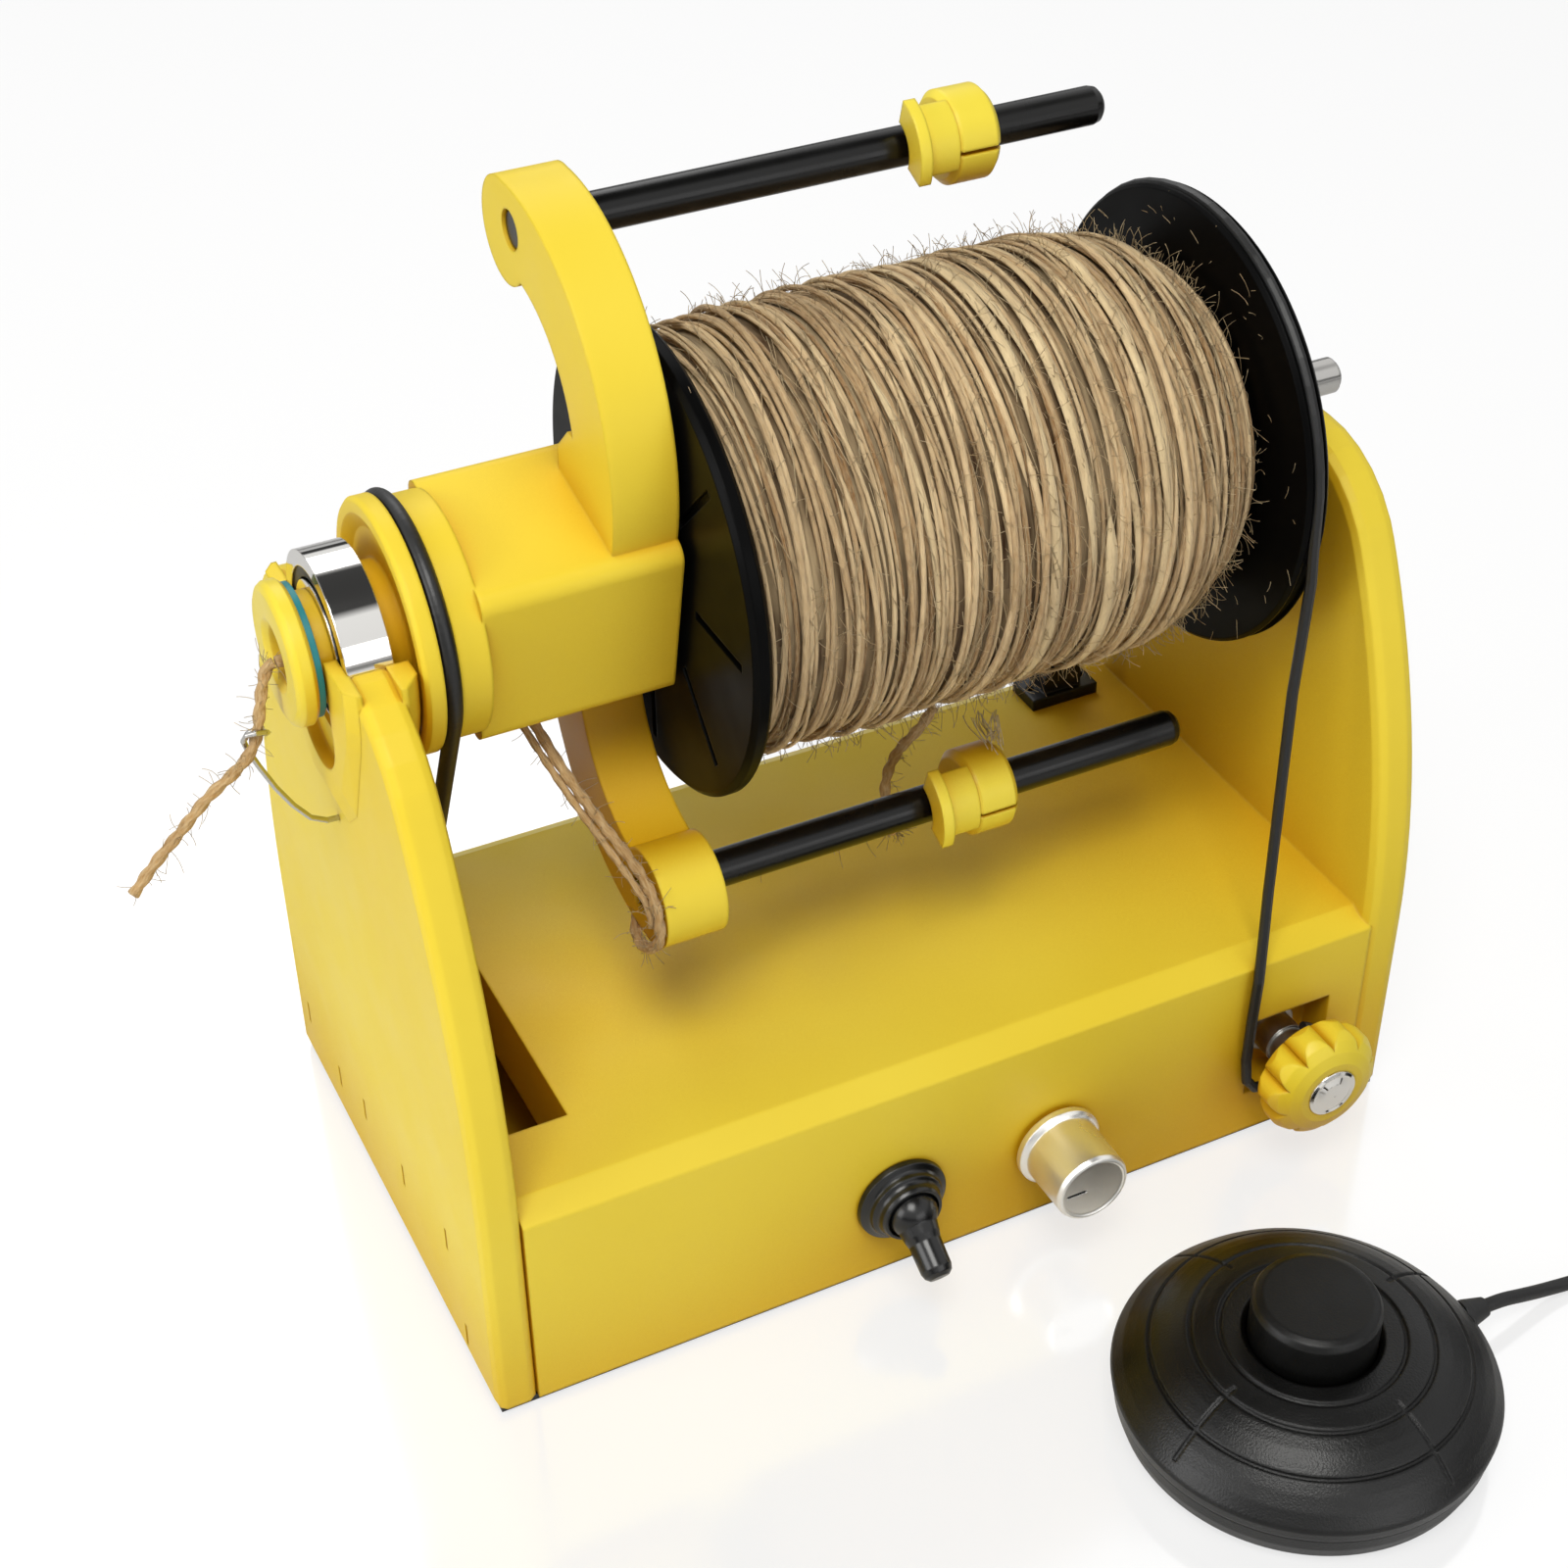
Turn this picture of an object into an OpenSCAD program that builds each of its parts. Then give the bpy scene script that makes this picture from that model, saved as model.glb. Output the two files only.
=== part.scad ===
// Electric yarn spinner: a flyer and bobbin between two arched uprights on a
// box base, belt driven, with a brake cord on the bobbin and a foot pedal.
// Millimetres. Origin: centre of the footprint, on the table. X runs along the
// spindle from the orifice (-X) to the tail (+X); the controls face -Y.

/* [Frame] */
// Length of the frame over both uprights
frame_len = 220; // [214:1:230]
// Depth of the base, front to back
frame_depth = 128; // [124:1:134]
// Height of the base box
base_h = 54; // [50:1:56]
// Height of the spindle axis
axis_h = 153; // [150:1:160]
// Thickness of the left upright
left_wall = 9; // [8.5:0.5:10]
// Thickness of the right upright
right_wall = 10; // [8:0.5:11]
// Wall of the base housing
shell = 3; // [2.4:0.2:3.6]
// Thickness of the rubber pad under the base
pad_t = 1.5; // [1:0.1:2]
// Radius of the long curve of the uprights
arch_r = 198; // [190:1:215]
// Radius of the shoulders at the top of the uprights
shoulder_r = 30; // [26:1:34]

/* [Spindle] */
// Outer diameter of the ball bearing
brg_od = 37; // [35:0.5:38]
// Bore of the ball bearing
brg_id = 20; // [19:0.5:21]
// Width of the ball bearing
brg_w = 9; // [8:0.5:9]
// Bore of the yarn orifice
orifice_d = 10; // [8:0.5:11]
// Diameter of the orifice nose
nose_d = 28.6; // [27:0.2:30]
// Diameter of the drive pulley
pulley_d = 51; // [48:0.5:51]
// Diameter of the round drive belt
belt_d = 3.4; // [2.6:0.1:3.6]
// Diameter of the steel shaft
shaft_d = 8; // [6:0.5:9]

/* [Flyer] */
// Side of the square hub
hub_side = 38.4; // [36:0.2:39]
// Thickness of the arms along the spindle
arm_t = 13.4; // [11:0.2:14]
// Width of the curved arms
arm_w = 17.8; // [15:0.2:19]
// Diameter of the guide rods
rod_d = 8; // [6:0.5:9]
// Sideways offset of each rod from the axis
rod_y = 23.3; // [22.5:0.1:24]
// Height offset of each rod from the axis
rod_z = 63.2; // [62:0.2:65]
// Diameter of the arm tips around the rods
tip_d = 21.4; // [20:0.2:22]
// Width of a sliding hook's ring
hook_w = 10.4; // [9:0.2:12]
// Outer diameter of a sliding hook
hook_d = 19; // [17:0.5:20]
// Reach of the hook's finger beyond its ring
finger_l = 9; // [7:0.5:10]

/* [Bobbin] */
// Diameter of the bobbin flanges
flange_d = 99; // [94:1:102]
// Thickness of the front flange
front_t = 4; // [3:0.5:5]
// Thickness of the rear, grooved flange
rear_t = 5.2; // [4.8:0.2:6]
// Diameter of the bobbin core
core_d = 34; // [30:1:40]
// Diameter of the wound yarn
package_d = 90; // [80:1:91]
// Diameter of the brake cord
brake_d = 2.4; // [2:0.1:2.6]

/* [Controls] */
// Place of the toggle switch along the panel
toggle_x = -17; // [-24:1:-12]
// Place of the speed knob along the panel
speed_x = 20.9; // [18:0.5:28]
// Distance of the brake tension knob from the right upright
tension_in = 18.3; // [17:0.1:20]
// Height of the tension knob's axis
tension_z = 24; // [22:0.5:26]
// Diameter of the brake tension knob over its lobes
tension_d = 28; // [25:0.5:30]
// Number of lobes of the brake tension knob
lobes = 10; // [8:1:12]

/* [Foot pedal] */
// Diameter of the pedal
pedal_d = 79; // [76:1:82]
// Height of the pedal's shell
pedal_h = 24; // [22:0.5:26]
// Diameter of the pedal's button
button_d = 26; // [24:0.5:28]
// Height of the button above the shell
button_rise = 10; // [8:0.5:12]
// Travel of the button
button_travel = 4; // [3:0.5:5]
// Diameter of the pedal's cord
cord_d = 3; // [3:0.1:3.4]

/* [Hidden] */
$fn = 96;
eps = 0.01;
fit = 0.05;          // radial clearance of pieces that seat in one another
run = 0.08;          // radial clearance of running fits
gap = 0.4;           // clearance between pieces that move past one another

yellow = [0.93, 0.82, 0.22];
black = [0.03, 0.03, 0.03];
steel = [0.75, 0.75, 0.76];
teal = [0.05, 0.52, 0.54];
jute = [0.72, 0.57, 0.36];

// Frame planes
xl = -frame_len/2;
xr = frame_len/2;
xli = xl + left_wall;
xri = xr - right_wall;
hd = frame_depth/2;
tension_x = xri - tension_in;

// Stations along the spindle, from the orifice to the tail
lip_out = 2;
brg_x0 = xl + 0.7;
brg_x1 = brg_x0 + brg_w;
brg_r = brg_od/2;
bore_r = brg_id/2;
neck_r = bore_r + 1;
washer_x0 = xl - 3.7;
washer_t = 1.3;
nose_x0 = washer_x0 - 4.3;
disc_x0 = brg_x1 + 3.3;
dish_x = disc_x0 + 1.5;
disc_x1 = disc_x0 + 4.2;
groove_w = 2.6;
belt_x = disc_x1 + groove_w/2;
flange_x = disc_x1 + groove_w;
prism_x0 = flange_x + 6.7;
arm_x0 = prism_x0 + 26.8;
arm_x1 = arm_x0 + arm_t;
bob_x0 = arm_x1 + 1.5;
bob_x1 = xri - 14.5;
pack_x0 = bob_x0 + front_t;
pack_x1 = bob_x1 - rear_t;
rod_x1 = xri - 28;
shaft_x0 = arm_x0 - 5.3;
shaft_x1 = xr + 12;
cradle_x1 = disc_x0 - 0.6;

pulley_r = pulley_d/2;
belt_r = belt_d/2;
belt_pitch = pulley_r - 1.2;
shaft_r = shaft_d/2;
rod_r = rod_d/2;
nose_r = nose_d/2;

// Drive motor in the base
motor_y = hd - 20;
motor_z = 25;
motor_r = 13.5;
motor_pitch = 8;
motor_x0 = belt_x + 17;
motor_l = 36;
strap_t = 1.5;

// Sliding hooks, as they stand at rest
upper_hook_x = 33.8;
lower_hook_x = 17;
slit_t = 0.9;

// Panel
panel_y = -hd;
control_z = 21.5;
recess_w = 20.5;
recess_h = 21.5;
recess_t = 8;

// Brake
brake_r = brake_d/2;
brake_x = bob_x1 - rear_t/2;
flange_r = flange_d/2;
brake_pitch = flange_r - 0.4;
lean_back = -5;
anchor_y = flange_r - 7;

// Pedal place
pedal_x = 38;
pedal_y = -136;
pedal_r = pedal_d/2;
seam_z = 8.5;
cord_r = cord_d/2;

// ---------- shared shapes ----------

module at_axis() {
  translate([0, 0, axis_h]) children();
}

module cyl_x(r, x0, x1) {
  translate([x0, 0, 0]) rotate([0, 90, 0]) cylinder(r = r, h = x1 - x0);
}

module cyl_y(r, y0, y1) {
  translate([0, y1, 0]) rotate([90, 0, 0]) cylinder(r = r, h = y1 - y0);
}

// A (y, z) outline pushed along X
module plate_x(x0, x1) {
  translate([x0, 0, 0]) rotate([90, 0, 90]) linear_extrude(x1 - x0) children();
}

// An (x, radius) outline turned about the X axis
module turn_x() {
  rotate([0, 90, 0]) rotate_extrude() mirror([1, -1]) children();
}

// An (radius, depth) outline turned about an axis that points to -Y
module turn_y() {
  rotate([90, 0, 0]) rotate_extrude() children();
}

module ring_x(r0, r1, x0, x1) {
  difference() {
    cyl_x(r1, x0, x1);
    cyl_x(r0, x0 - 1, x1 + 1);
  }
}

module rounded_square(side, r) {
  for (x = [-1, 1], y = [-1, 1])
    translate([x*(side/2 - r), y*(side/2 - r)]) circle(r = r);
  square([side - 2*r, side], center = true);
  square([side, side - 2*r], center = true);
}

// Outline of an upright: straight to the shoulder line, then one long curve
// on each side that runs into the rounded top
module arch(top, inset) {
  line_z = 50;
  h = top - inset;
  w = hd - inset;
  corner = shoulder_r - inset;
  far = w - arch_r;
  cz = h - corner;
  cy = far + sqrt(pow(arch_r - corner, 2) - pow(cz - line_z, 2));
  lean = asin((cz - line_z)/(arch_r - corner));
  tz = cz + corner*sin(lean);
  z0 = pad_t + inset;
  intersection() {
    union() {
      translate([-w, z0]) square([2*w, tz - z0]);
      for (s = [-1, 1]) translate([s*cy, cz]) circle(r = corner);
      translate([-cy, cz]) square([2*cy, corner]);
    }
    union() {
      translate([-w, z0]) square([2*w, line_z - z0]);
      intersection() {
        translate([far, line_z]) circle(r = arch_r, $fn = 200);
        translate([-far, line_z]) circle(r = arch_r, $fn = 200);
      }
    }
  }
}

// An upright with softened edges on both faces
module soft_upright(x0, x1, top, soft) {
  hull($fn = 32) {
    plate_x(x0, x1) arch(top, soft, $fn = 32);
    plate_x(x0 + soft*0.3, x1 - soft*0.3) arch(top, soft*0.3, $fn = 32);
    plate_x(x0 + soft, x1 - soft) arch(top, 0, $fn = 32);
  }
}

// A round tube along a list of points
function unit(v) = v/norm(v);
function dir_at(p, i) =
  unit((i == 0 ? p[1] - p[0] : unit(p[i] - p[i - 1]))
    + (i == len(p) - 1 ? p[i] - p[i - 1] : unit(p[min(i + 1, len(p) - 1)] - p[i])));
function side_of(d) = unit(cross(d, abs(d[2]) > 0.9 ? [1, 0, 0] : [0, 0, 1]));
function carry(p, i) =
  i == 0 ? side_of(dir_at(p, 0))
  : let (d = dir_at(p, i), s = carry(p, i - 1)) unit(s - d*(s*d));
function ring_at(p, i, r, n) =
  let (d = dir_at(p, i), s = carry(p, i), t = cross(d, s))
  [for (k = [0:n - 1]) p[i] + r*(cos(360*k/n)*s + sin(360*k/n)*t)];

module tube(p, r, n = 8) {
  rings = [for (i = [0:len(p) - 1]) each ring_at(p, i, r, n)];
  last = (len(p) - 1)*n;
  sides = [for (i = [0:len(p) - 2], k = [0:n - 1])
    [i*n + k, i*n + (k + 1)%n, (i + 1)*n + (k + 1)%n, (i + 1)*n + k]];
  ends = [[for (k = [n - 1:-1:0]) k], [for (k = [0:n - 1]) last + k]];
  polyhedron(rings, concat(sides, ends), convexity = 8);
}

// Points along an arc in the (y, z) plane at x
function arc_yz(x, c, r, a0, a1, n) =
  [for (i = [0:n]) let (a = a0 + (a1 - a0)*i/n) [x, c[0] + r*cos(a), c[1] + r*sin(a)]];

// ---------- frame ----------

slot_x1 = xli + 19;
slot_y0 = -41;
slot_y1 = 55;
well_z = 34;

module base_section(t) {
  polygon([
    [-hd + t, t > 0 ? 0 : pad_t],
    [-hd + t, base_h - 3 - t*0.6],
    [-hd + 6 + t*0.6, base_h - t],
    [hd - 16 - t*0.6, base_h - t],
    [hd - t, base_h - 12 - t*0.6],
    [hd - t, t > 0 ? 0 : pad_t]
  ]);
}

module base_housing() color(yellow) difference() {
  union() {
    difference() {
      plate_x(xli, xri + 1) base_section(0);
      plate_x(xli + shell, xri - shell) base_section(shell);
      translate([xli - 1, slot_y0, well_z]) cube([slot_x1 - xli + 1, slot_y1 - slot_y0, base_h]);
    }
    belt_well();
    soft_upright(xri, xr, axis_h + 2.2, 2.5);
    recess_box();
    screw_posts();
    motor_rails();
  }
  at_axis() shaft_notch();
  panel_cuts();
  back_cuts();
  joint_holes(xli - 6);
}

// Walls that hang from the belt slot into the housing
module belt_well() {
  intersection() {
    union() {
      translate([slot_x1, slot_y0 - shell, well_z]) cube([shell, slot_y1 - slot_y0 + 2*shell, base_h]);
      for (y = [slot_y0 - shell, slot_y1])
        translate([xli, y, well_z]) cube([slot_x1 - xli + shell, shell, base_h]);
    }
    plate_x(xli, xri) base_section(1);
  }
}

module shaft_notch() {
  cyl_x(shaft_r + run, xri - 1, xr + 1);
  translate([xri - 1, -shaft_r - run, 0]) cube([right_wall + 2, 2*(shaft_r + run), 12]);
}

module recess_box() {
  translate([tension_x - recess_w/2 - shell, panel_y + 1, tension_z - recess_h/2 - shell])
    cube([recess_w + 2*shell, recess_t + shell - 1, recess_h + 2*shell]);
}

post_r = 4.5;
post_y = hd - shell - 6;
posts = [
  [xli + shell + 6, -post_y],
  [tension_x - 26.7, -post_y],
  [motor_x0 + motor_l + 10.5, post_y],
  [xri - shell - 6, post_y]
];
plate_t = 2.5;

screw_r = 1.5;

module screw_posts() {
  for (p = posts)
    difference() {
      intersection() {
        translate([p[0], p[1], pad_t + plate_t + fit]) cylinder(r = post_r, h = base_h);
        plate_x(xli, xri) base_section(1);
      }
      translate([p[0], p[1], 0]) cylinder(r = screw_r, h = 13);
    }
}

// Two ribs under the top that carry the motor's bracket
module motor_rails() {
  intersection() {
    for (s = [-1, 1])
      translate([motor_x0 + 2, motor_y + s*(motor_r - 3) - 1.5, motor_z + motor_r + strap_t + fit])
        cube([motor_l - 8, 3, base_h]);
    plate_x(xli, xri) base_section(1);
  }
}

module panel_cuts() {
  translate([tension_x - recess_w/2, panel_y - 1, tension_z - recess_h/2])
    cube([recess_w, recess_t + 1, recess_h]);
  translate([tension_x, 0, tension_z]) cyl_y(bush_r + fit, panel_y, panel_y + 20);
  translate([toggle_x, 0, control_z]) cyl_y(toggle_bush_r + fit, panel_y - 1, panel_y + shell + 1);
  translate([speed_x, 0, control_z]) cyl_y(pot_bush_r + fit, panel_y - 1, panel_y + shell + 1);
}

jack_x = -8;
jack_z = 20;
socket_x = 14;
socket_r = 4;
jack_r = 5.5;

module back_cuts() {
  translate([jack_x, 0, jack_z]) cyl_y(jack_r + fit, hd - shell - 1, hd + 1);
  translate([socket_x, 0, jack_z]) cyl_y(socket_r + fit, hd - shell - 1, hd + 1);
}

// Upright with the bearing cradle: a snap pocket, a lip with a slot for the
// nose's neck, and a boss on both faces
cradle_r = 25;
slot_r = 12;
left_top = axis_h + 4;

module cradle_outline(low, r) {
  intersection() {
    union() {
      translate([0, axis_h]) circle(r = r);
      polygon([[-r, axis_h], [r, axis_h], [r*0.56, low + 6], [r*0.3, low], [-r*0.3, low], [-r*0.56, low + 6]]);
      translate([-r, axis_h]) square([2*r, 20]);
    }
    translate([-60, 0]) square([120, left_top]);
  }
}

module left_upright() color(yellow) difference() {
  union() {
    soft_upright(xl, xli, left_top, 2);
    hull($fn = 32) {
      plate_x(xl - lip_out, xl + 1) cradle_outline(122, cradle_r - 2, $fn = 32);
      plate_x(xl - lip_out*0.4, xl + 1) cradle_outline(119, cradle_r - 0.5, $fn = 32);
      plate_x(xl - 0.1, xl + 1) cradle_outline(116, cradle_r + 0.5, $fn = 32);
    }
    hull($fn = 32) {
      plate_x(xli - 1, cradle_x1) cradle_outline(124, cradle_r - 2, $fn = 32);
      plate_x(xli - 1, cradle_x1 - 2) cradle_outline(118, cradle_r, $fn = 32);
      plate_x(xli - 1, xli + 0.1) cradle_outline(112, cradle_r + 2, $fn = 32);
    }
  }
  at_axis() cyl_x(brg_r + fit, brg_x0 - fit, xli + 30);
  at_axis() cyl_x(slot_r, xl - 10, brg_x0);
  translate([0, 0, axis_h - 14]) cyl_x(slot_r, xl - 10, brg_x0);
  translate([xl - 10, -slot_r, axis_h - 14]) cube([brg_x0 - xl + 10, 2*slot_r, 40]);
  wire_holes();
  vent_slits();
  joint_holes(xli - 6);
}

// Six short slits low on the outer face
slits = [[55, 16], [33, 14], [14, 20], [-12, 23], [-40, 30], [-47, 8]];

module vent_slits() {
  for (p = slits) translate([xl - 1, p[0] - 0.5, p[1] - 3]) cube([1.8, 1, 6]);
}

// Four screws tie the left upright to the end wall of the housing
joint_y = 44;
joint_z = [10, 26];

module joint_holes(x0) {
  for (y = [-joint_y, joint_y], z = joint_z)
    translate([0, y, z]) cyl_x(1.6 + fit, x0, xli + shell + 1);
}

module frame_screws() color(steel) {
  for (y = [-joint_y, joint_y], z = joint_z)
    translate([0, y, z]) {
      cyl_x(1.6, xli - 5.5, xli + shell + fit);
      cyl_x(3, xli + shell + fit, xli + shell + fit + 2);
    }
  for (p = posts)
    translate([p[0], p[1], pad_t + plate_t - 1.2]) cylinder(r = screw_r, h = 8);
}

module bottom_plate() color(yellow) difference() {
  translate([xli + shell + 0.2, -hd + shell + 0.2, pad_t])
    cube([xri - xli - 2*shell - 0.4, 2*hd - 2*shell - 0.4, plate_t]);
  for (p = posts)
    translate([p[0], p[1], 0]) cylinder(r = screw_r + fit, h = 10);
}

module base_pad() color(black) {
  translate([xl + 1, -hd + 1, 0]) cube([frame_len - 2, frame_depth - 2, pad_t]);
}

// Steel wire loop that holds the yarn in front of the orifice
wire_r = 0.6;
guide_path = [
  [xl + 1.4, 0, 112], [xl - 2.4, 0, 112.2], [xl - 5.6, 0, 114], [xl - 8.6, 0.2, 118],
  [xl - 11.4, 0.6, 123], [xl - 13.6, 1.2, 128], [xl - 15.3, 1.4, 132.4], [xl - 16.1, 0.6, 135.6],
  [xl - 15.7, -1.2, 138], [xl - 14.2, -2.6, 139], [xl - 12.4, -2.4, 138.4], [xl - 11.6, -0.6, 137],
  [xl - 12, 1.6, 136], [xl - 13.4, 3.4, 135.4], [xl - 14.6, 3.8, 134.6]
];

module wire_holes() {
  translate([0, guide_path[0][1], guide_path[0][2]]) cyl_x(wire_r + fit, xl - 1, xl + 1.5);
}

module yarn_guide() color(steel) tube(guide_path, wire_r, 8);

// ---------- bearing ----------

race_in = bore_r + 2.7;
race_out = brg_r - 3.2;
ball_pitch = (race_in + race_out)/2;
ball_r = (race_out - race_in)/2 + 1;
balls = 9;

module race(r0, r1) {
  difference() {
    ring_x(r0, r1, brg_x0, brg_x1);
    translate([(brg_x0 + brg_x1)/2, 0, 0]) rotate([0, 90, 0])
      rotate_extrude() translate([ball_pitch, 0]) circle(r = ball_r + fit);
  }
}

module outer_race() color(steel) at_axis() race(race_out, brg_r);
module inner_race() color(steel) at_axis() race(bore_r, race_in);

module bearing_balls() color(steel) at_axis()
  for (i = [0:balls - 1]) rotate([360*i/balls, 0, 0])
    translate([(brg_x0 + brg_x1)/2, 0, ball_pitch]) sphere(r = ball_r, $fn = 24);

module bearing_seals() color(black) at_axis() {
  ring_x(race_in + gap, race_out - fit, brg_x0 + 0.5, brg_x0 + 1.3);
  ring_x(race_in + gap, race_out - fit, brg_x1 - 1.3, brg_x1 - 0.5);
}

// ---------- flyer ----------

neck_x1 = brg_x0 - fit;
spigot_r = bore_r - 2.6;
exit_x = prism_x0 + 9.5;
exit_lean = 12.5;

module orifice_nose() color(yellow) at_axis() difference() {
  turn_x() polygon([
    [nose_x0, 0], [nose_x0, nose_r - 1.6], [nose_x0 + 0.5, nose_r - 0.6], [nose_x0 + 1.4, nose_r],
    [washer_x0 - 0.8, nose_r], [washer_x0, nose_r - 0.8], [washer_x0, neck_r],
    [neck_x1, neck_r], [neck_x1, spigot_r], [brg_x1 + 2, spigot_r], [brg_x1 + 2, 0]
  ]);
  cyl_x(orifice_d/2, nose_x0 - 1, brg_x1 + 3);
  turn_x() polygon([
    [nose_x0 - 0.1, 0], [nose_x0 - 0.1, orifice_d/2 + 2.6], [nose_x0 + 1, orifice_d/2 + 1],
    [nose_x0 + 3, orifice_d/2], [nose_x0 + 3, 0]
  ]);
}

module orifice_washer() color(teal) at_axis()
  ring_x(neck_r + fit, nose_r - 1.1, washer_x0, washer_x0 + washer_t);

// The round tip of an arm stands off the centre of its rod
tip_dy = 4;
tip_dz = 1.8;

// Hub, arms and pulley are one moulding, the same after half a turn
module arm_outline() {
  mid = [rod_y + 1, rod_z - 36.3];
  rad = 36.3;
  difference() {
    translate(mid) circle(r = rad + arm_w/2);
    translate(mid) circle(r = rad - arm_w/2);
    translate([rod_y + tip_dy, 0]) square([80, 120]);
    translate([-40, mid[1] - 80 - 18]) square([120, 80]);
  }
  translate([rod_y + tip_dy, rod_z - tip_dz]) circle(r = tip_d/2);
  // web that carries the root of the arm into the hub
  intersection() {
    translate(mid) circle(r = rad + arm_w/2);
    polygon([[-24, 8], [-24, 32], [0, 32], [6, 26], [6, 8]]);
  }
}

module flyer() color(yellow) at_axis() difference() {
  union() {
    turn_x() polygon([
      [brg_x0 + 0.5, 0], [brg_x0 + 0.5, bore_r - fit], [brg_x1 + 0.1, bore_r - fit],
      [brg_x1 + 0.1, bore_r + 2], [brg_x1 + 0.8, bore_r + 3.4], [dish_x, bore_r + 3.4],
      [dish_x, pulley_r - 6], [disc_x0, pulley_r - 3], [disc_x0, pulley_r - 0.8],
      [disc_x0 + 0.8, pulley_r], [disc_x1 - 0.4, pulley_r], [disc_x1, pulley_r - 0.4],
      [flange_x, pulley_r - 0.6], [flange_x, pulley_r - 1.4], [prism_x0, pulley_r - 1.4], [prism_x0, 0]
    ]);
    plate_x(prism_x0 - 0.5, arm_x1) rotate(exit_lean) rounded_square(hub_side, 3.6);
    plate_x(arm_x0, arm_x1) for (a = [0, 180]) rotate(a) arm_outline();
  }
  translate([belt_x, 0, 0]) rotate([0, 90, 0])
    rotate_extrude() translate([belt_pitch, 0]) circle(r = belt_r + run, $fn = 32);
  translate([belt_x, 0, 0]) rotate([0, 90, 0]) rotate_extrude()
    translate([belt_pitch, -belt_r - run]) square([10, 2*(belt_r + run)]);
  cyl_x(spigot_r + fit, brg_x0 - 1, brg_x1 + 2 + fit);
  cyl_x(orifice_d/2, brg_x0 - 1, exit_x + 5);
  translate([exit_x, 0, 0]) rotate([exit_lean, 0, 0]) translate([0, 0, -40]) cylinder(r = 6, h = 40);
  cyl_x(shaft_r, shaft_x0, arm_x1 + 1);
  for (s = [-1, 1]) translate([0, s*rod_y, s*rod_z]) cyl_x(rod_r + fit, arm_x0 - 1, arm_x1 + 1);
}

module flyer_shaft() color(steel) at_axis() union() {
  cyl_x(shaft_r, shaft_x0, shaft_x1 - 0.8);
  cyl_x(shaft_r - 0.8, shaft_x1 - 0.9, shaft_x1);
}

module guide_rods() color(black) at_axis() for (s = [-1, 1]) translate([0, s*rod_y, s*rod_z])
  turn_x() polygon([
    [arm_x0 + 0.6, 0], [arm_x0 + 0.6, rod_r - 0.5], [arm_x0 + 1.1, rod_r],
    [rod_x1 - 2.4, rod_r], [rod_x1 - 1.1, rod_r - 0.35], [rod_x1 - 0.3, rod_r - 1.2],
    [rod_x1, rod_r - 2.4], [rod_x1, 0]
  ]);

// A split ring with a curled finger beside the split, which the yarn is
// laid over; its mouth faces the front
module hook(x0) color(yellow) {
  difference() {
    turn_x() polygon([
      [x0, rod_r + fit], [x0, hook_d/2 - 1.4], [x0 + 1.4, hook_d/2], [x0 + hook_w - 1.2, hook_d/2],
      [x0 + hook_w, hook_d/2 - 1.2], [x0 + hook_w, rod_r + fit]
    ]);
    translate([x0 - 1, -hook_d, -slit_t/2]) cube([hook_w + 2, hook_d, slit_t]);
  }
  // the finger: a shell of the ring's own radius, then an upturned lip
  plate_x(x0 - finger_l, x0 + 0.8) finger_arc(hook_d/2 - 3.4, hook_d/2 - 0.2, 196, 292);
  plate_x(x0 - finger_l, x0 - finger_l + 2.6) finger_arc(hook_d/2 - 3.4, hook_d/2 + 1.8, 196, 292);
}

module finger_arc(r0, r1, a0, a1) {
  difference() {
    circle(r = r1);
    circle(r = r0);
    rotate(a0 - 90) translate([-40, 0]) mirror([0, 1]) square([80, 40]);
    rotate(a1 - 270) translate([-40, 0]) mirror([0, 1]) square([80, 40]);
  }
}

module upper_hook() at_axis() translate([0, rod_y, rod_z]) hook(upper_hook_x);
module lower_hook() at_axis() translate([0, -rod_y, -rod_z]) hook(lower_hook_x);

// ---------- bobbin ----------

core_r = core_d/2;
core_bore = shaft_r + run;

module bobbin_core() color(black) at_axis() difference() {
  union() {
    cyl_x(core_r, pack_x0, pack_x1);
    cyl_x(shaft_r + 4, bob_x0 + 0.2, bob_x1 + 6);
  }
  cyl_x(core_bore, bob_x0 - 1, bob_x1 + 7);
}

// A flange with a raised rim and eight shallow webs on the yarn side
module web_ring(x0, x1) {
  for (i = [0:7]) rotate([45*i, 0, 0])
    translate([x0, -0.9, core_r + 6]) cube([x1 - x0, 1.8, flange_r - core_r - 12]);
}

module front_flange() color(black) at_axis() difference() {
  turn_x() polygon([
    [bob_x0, shaft_r + 4 + fit], [bob_x0, flange_r - 1.2], [bob_x0 + 1, flange_r],
    [pack_x0 - 1, flange_r], [pack_x0, flange_r - 1], [pack_x0, shaft_r + 4 + fit]
  ]);
  translate([bob_x0 - 1, 0, 0]) web_ring(0, 2);
}

module rear_flange() color(black) at_axis() difference() {
  turn_x() polygon([
    [pack_x1, shaft_r + 4 + fit], [pack_x1, flange_r - 0.8], [pack_x1 + 0.8, flange_r],
    [bob_x1 - 0.8, flange_r], [bob_x1, flange_r - 0.8], [bob_x1, shaft_r + 4 + fit]
  ]);
  translate([brake_x, 0, 0]) rotate([0, 90, 0]) rotate_extrude() union() {
    translate([brake_pitch, 0]) circle(r = brake_r + 0.3, $fn = 32);
    translate([brake_pitch, -brake_r - 0.3]) square([5, 2*(brake_r + 0.3)]);
  }
  translate([bob_x1 - 1, 0, 0]) web_ring(0, 2);
}

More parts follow.
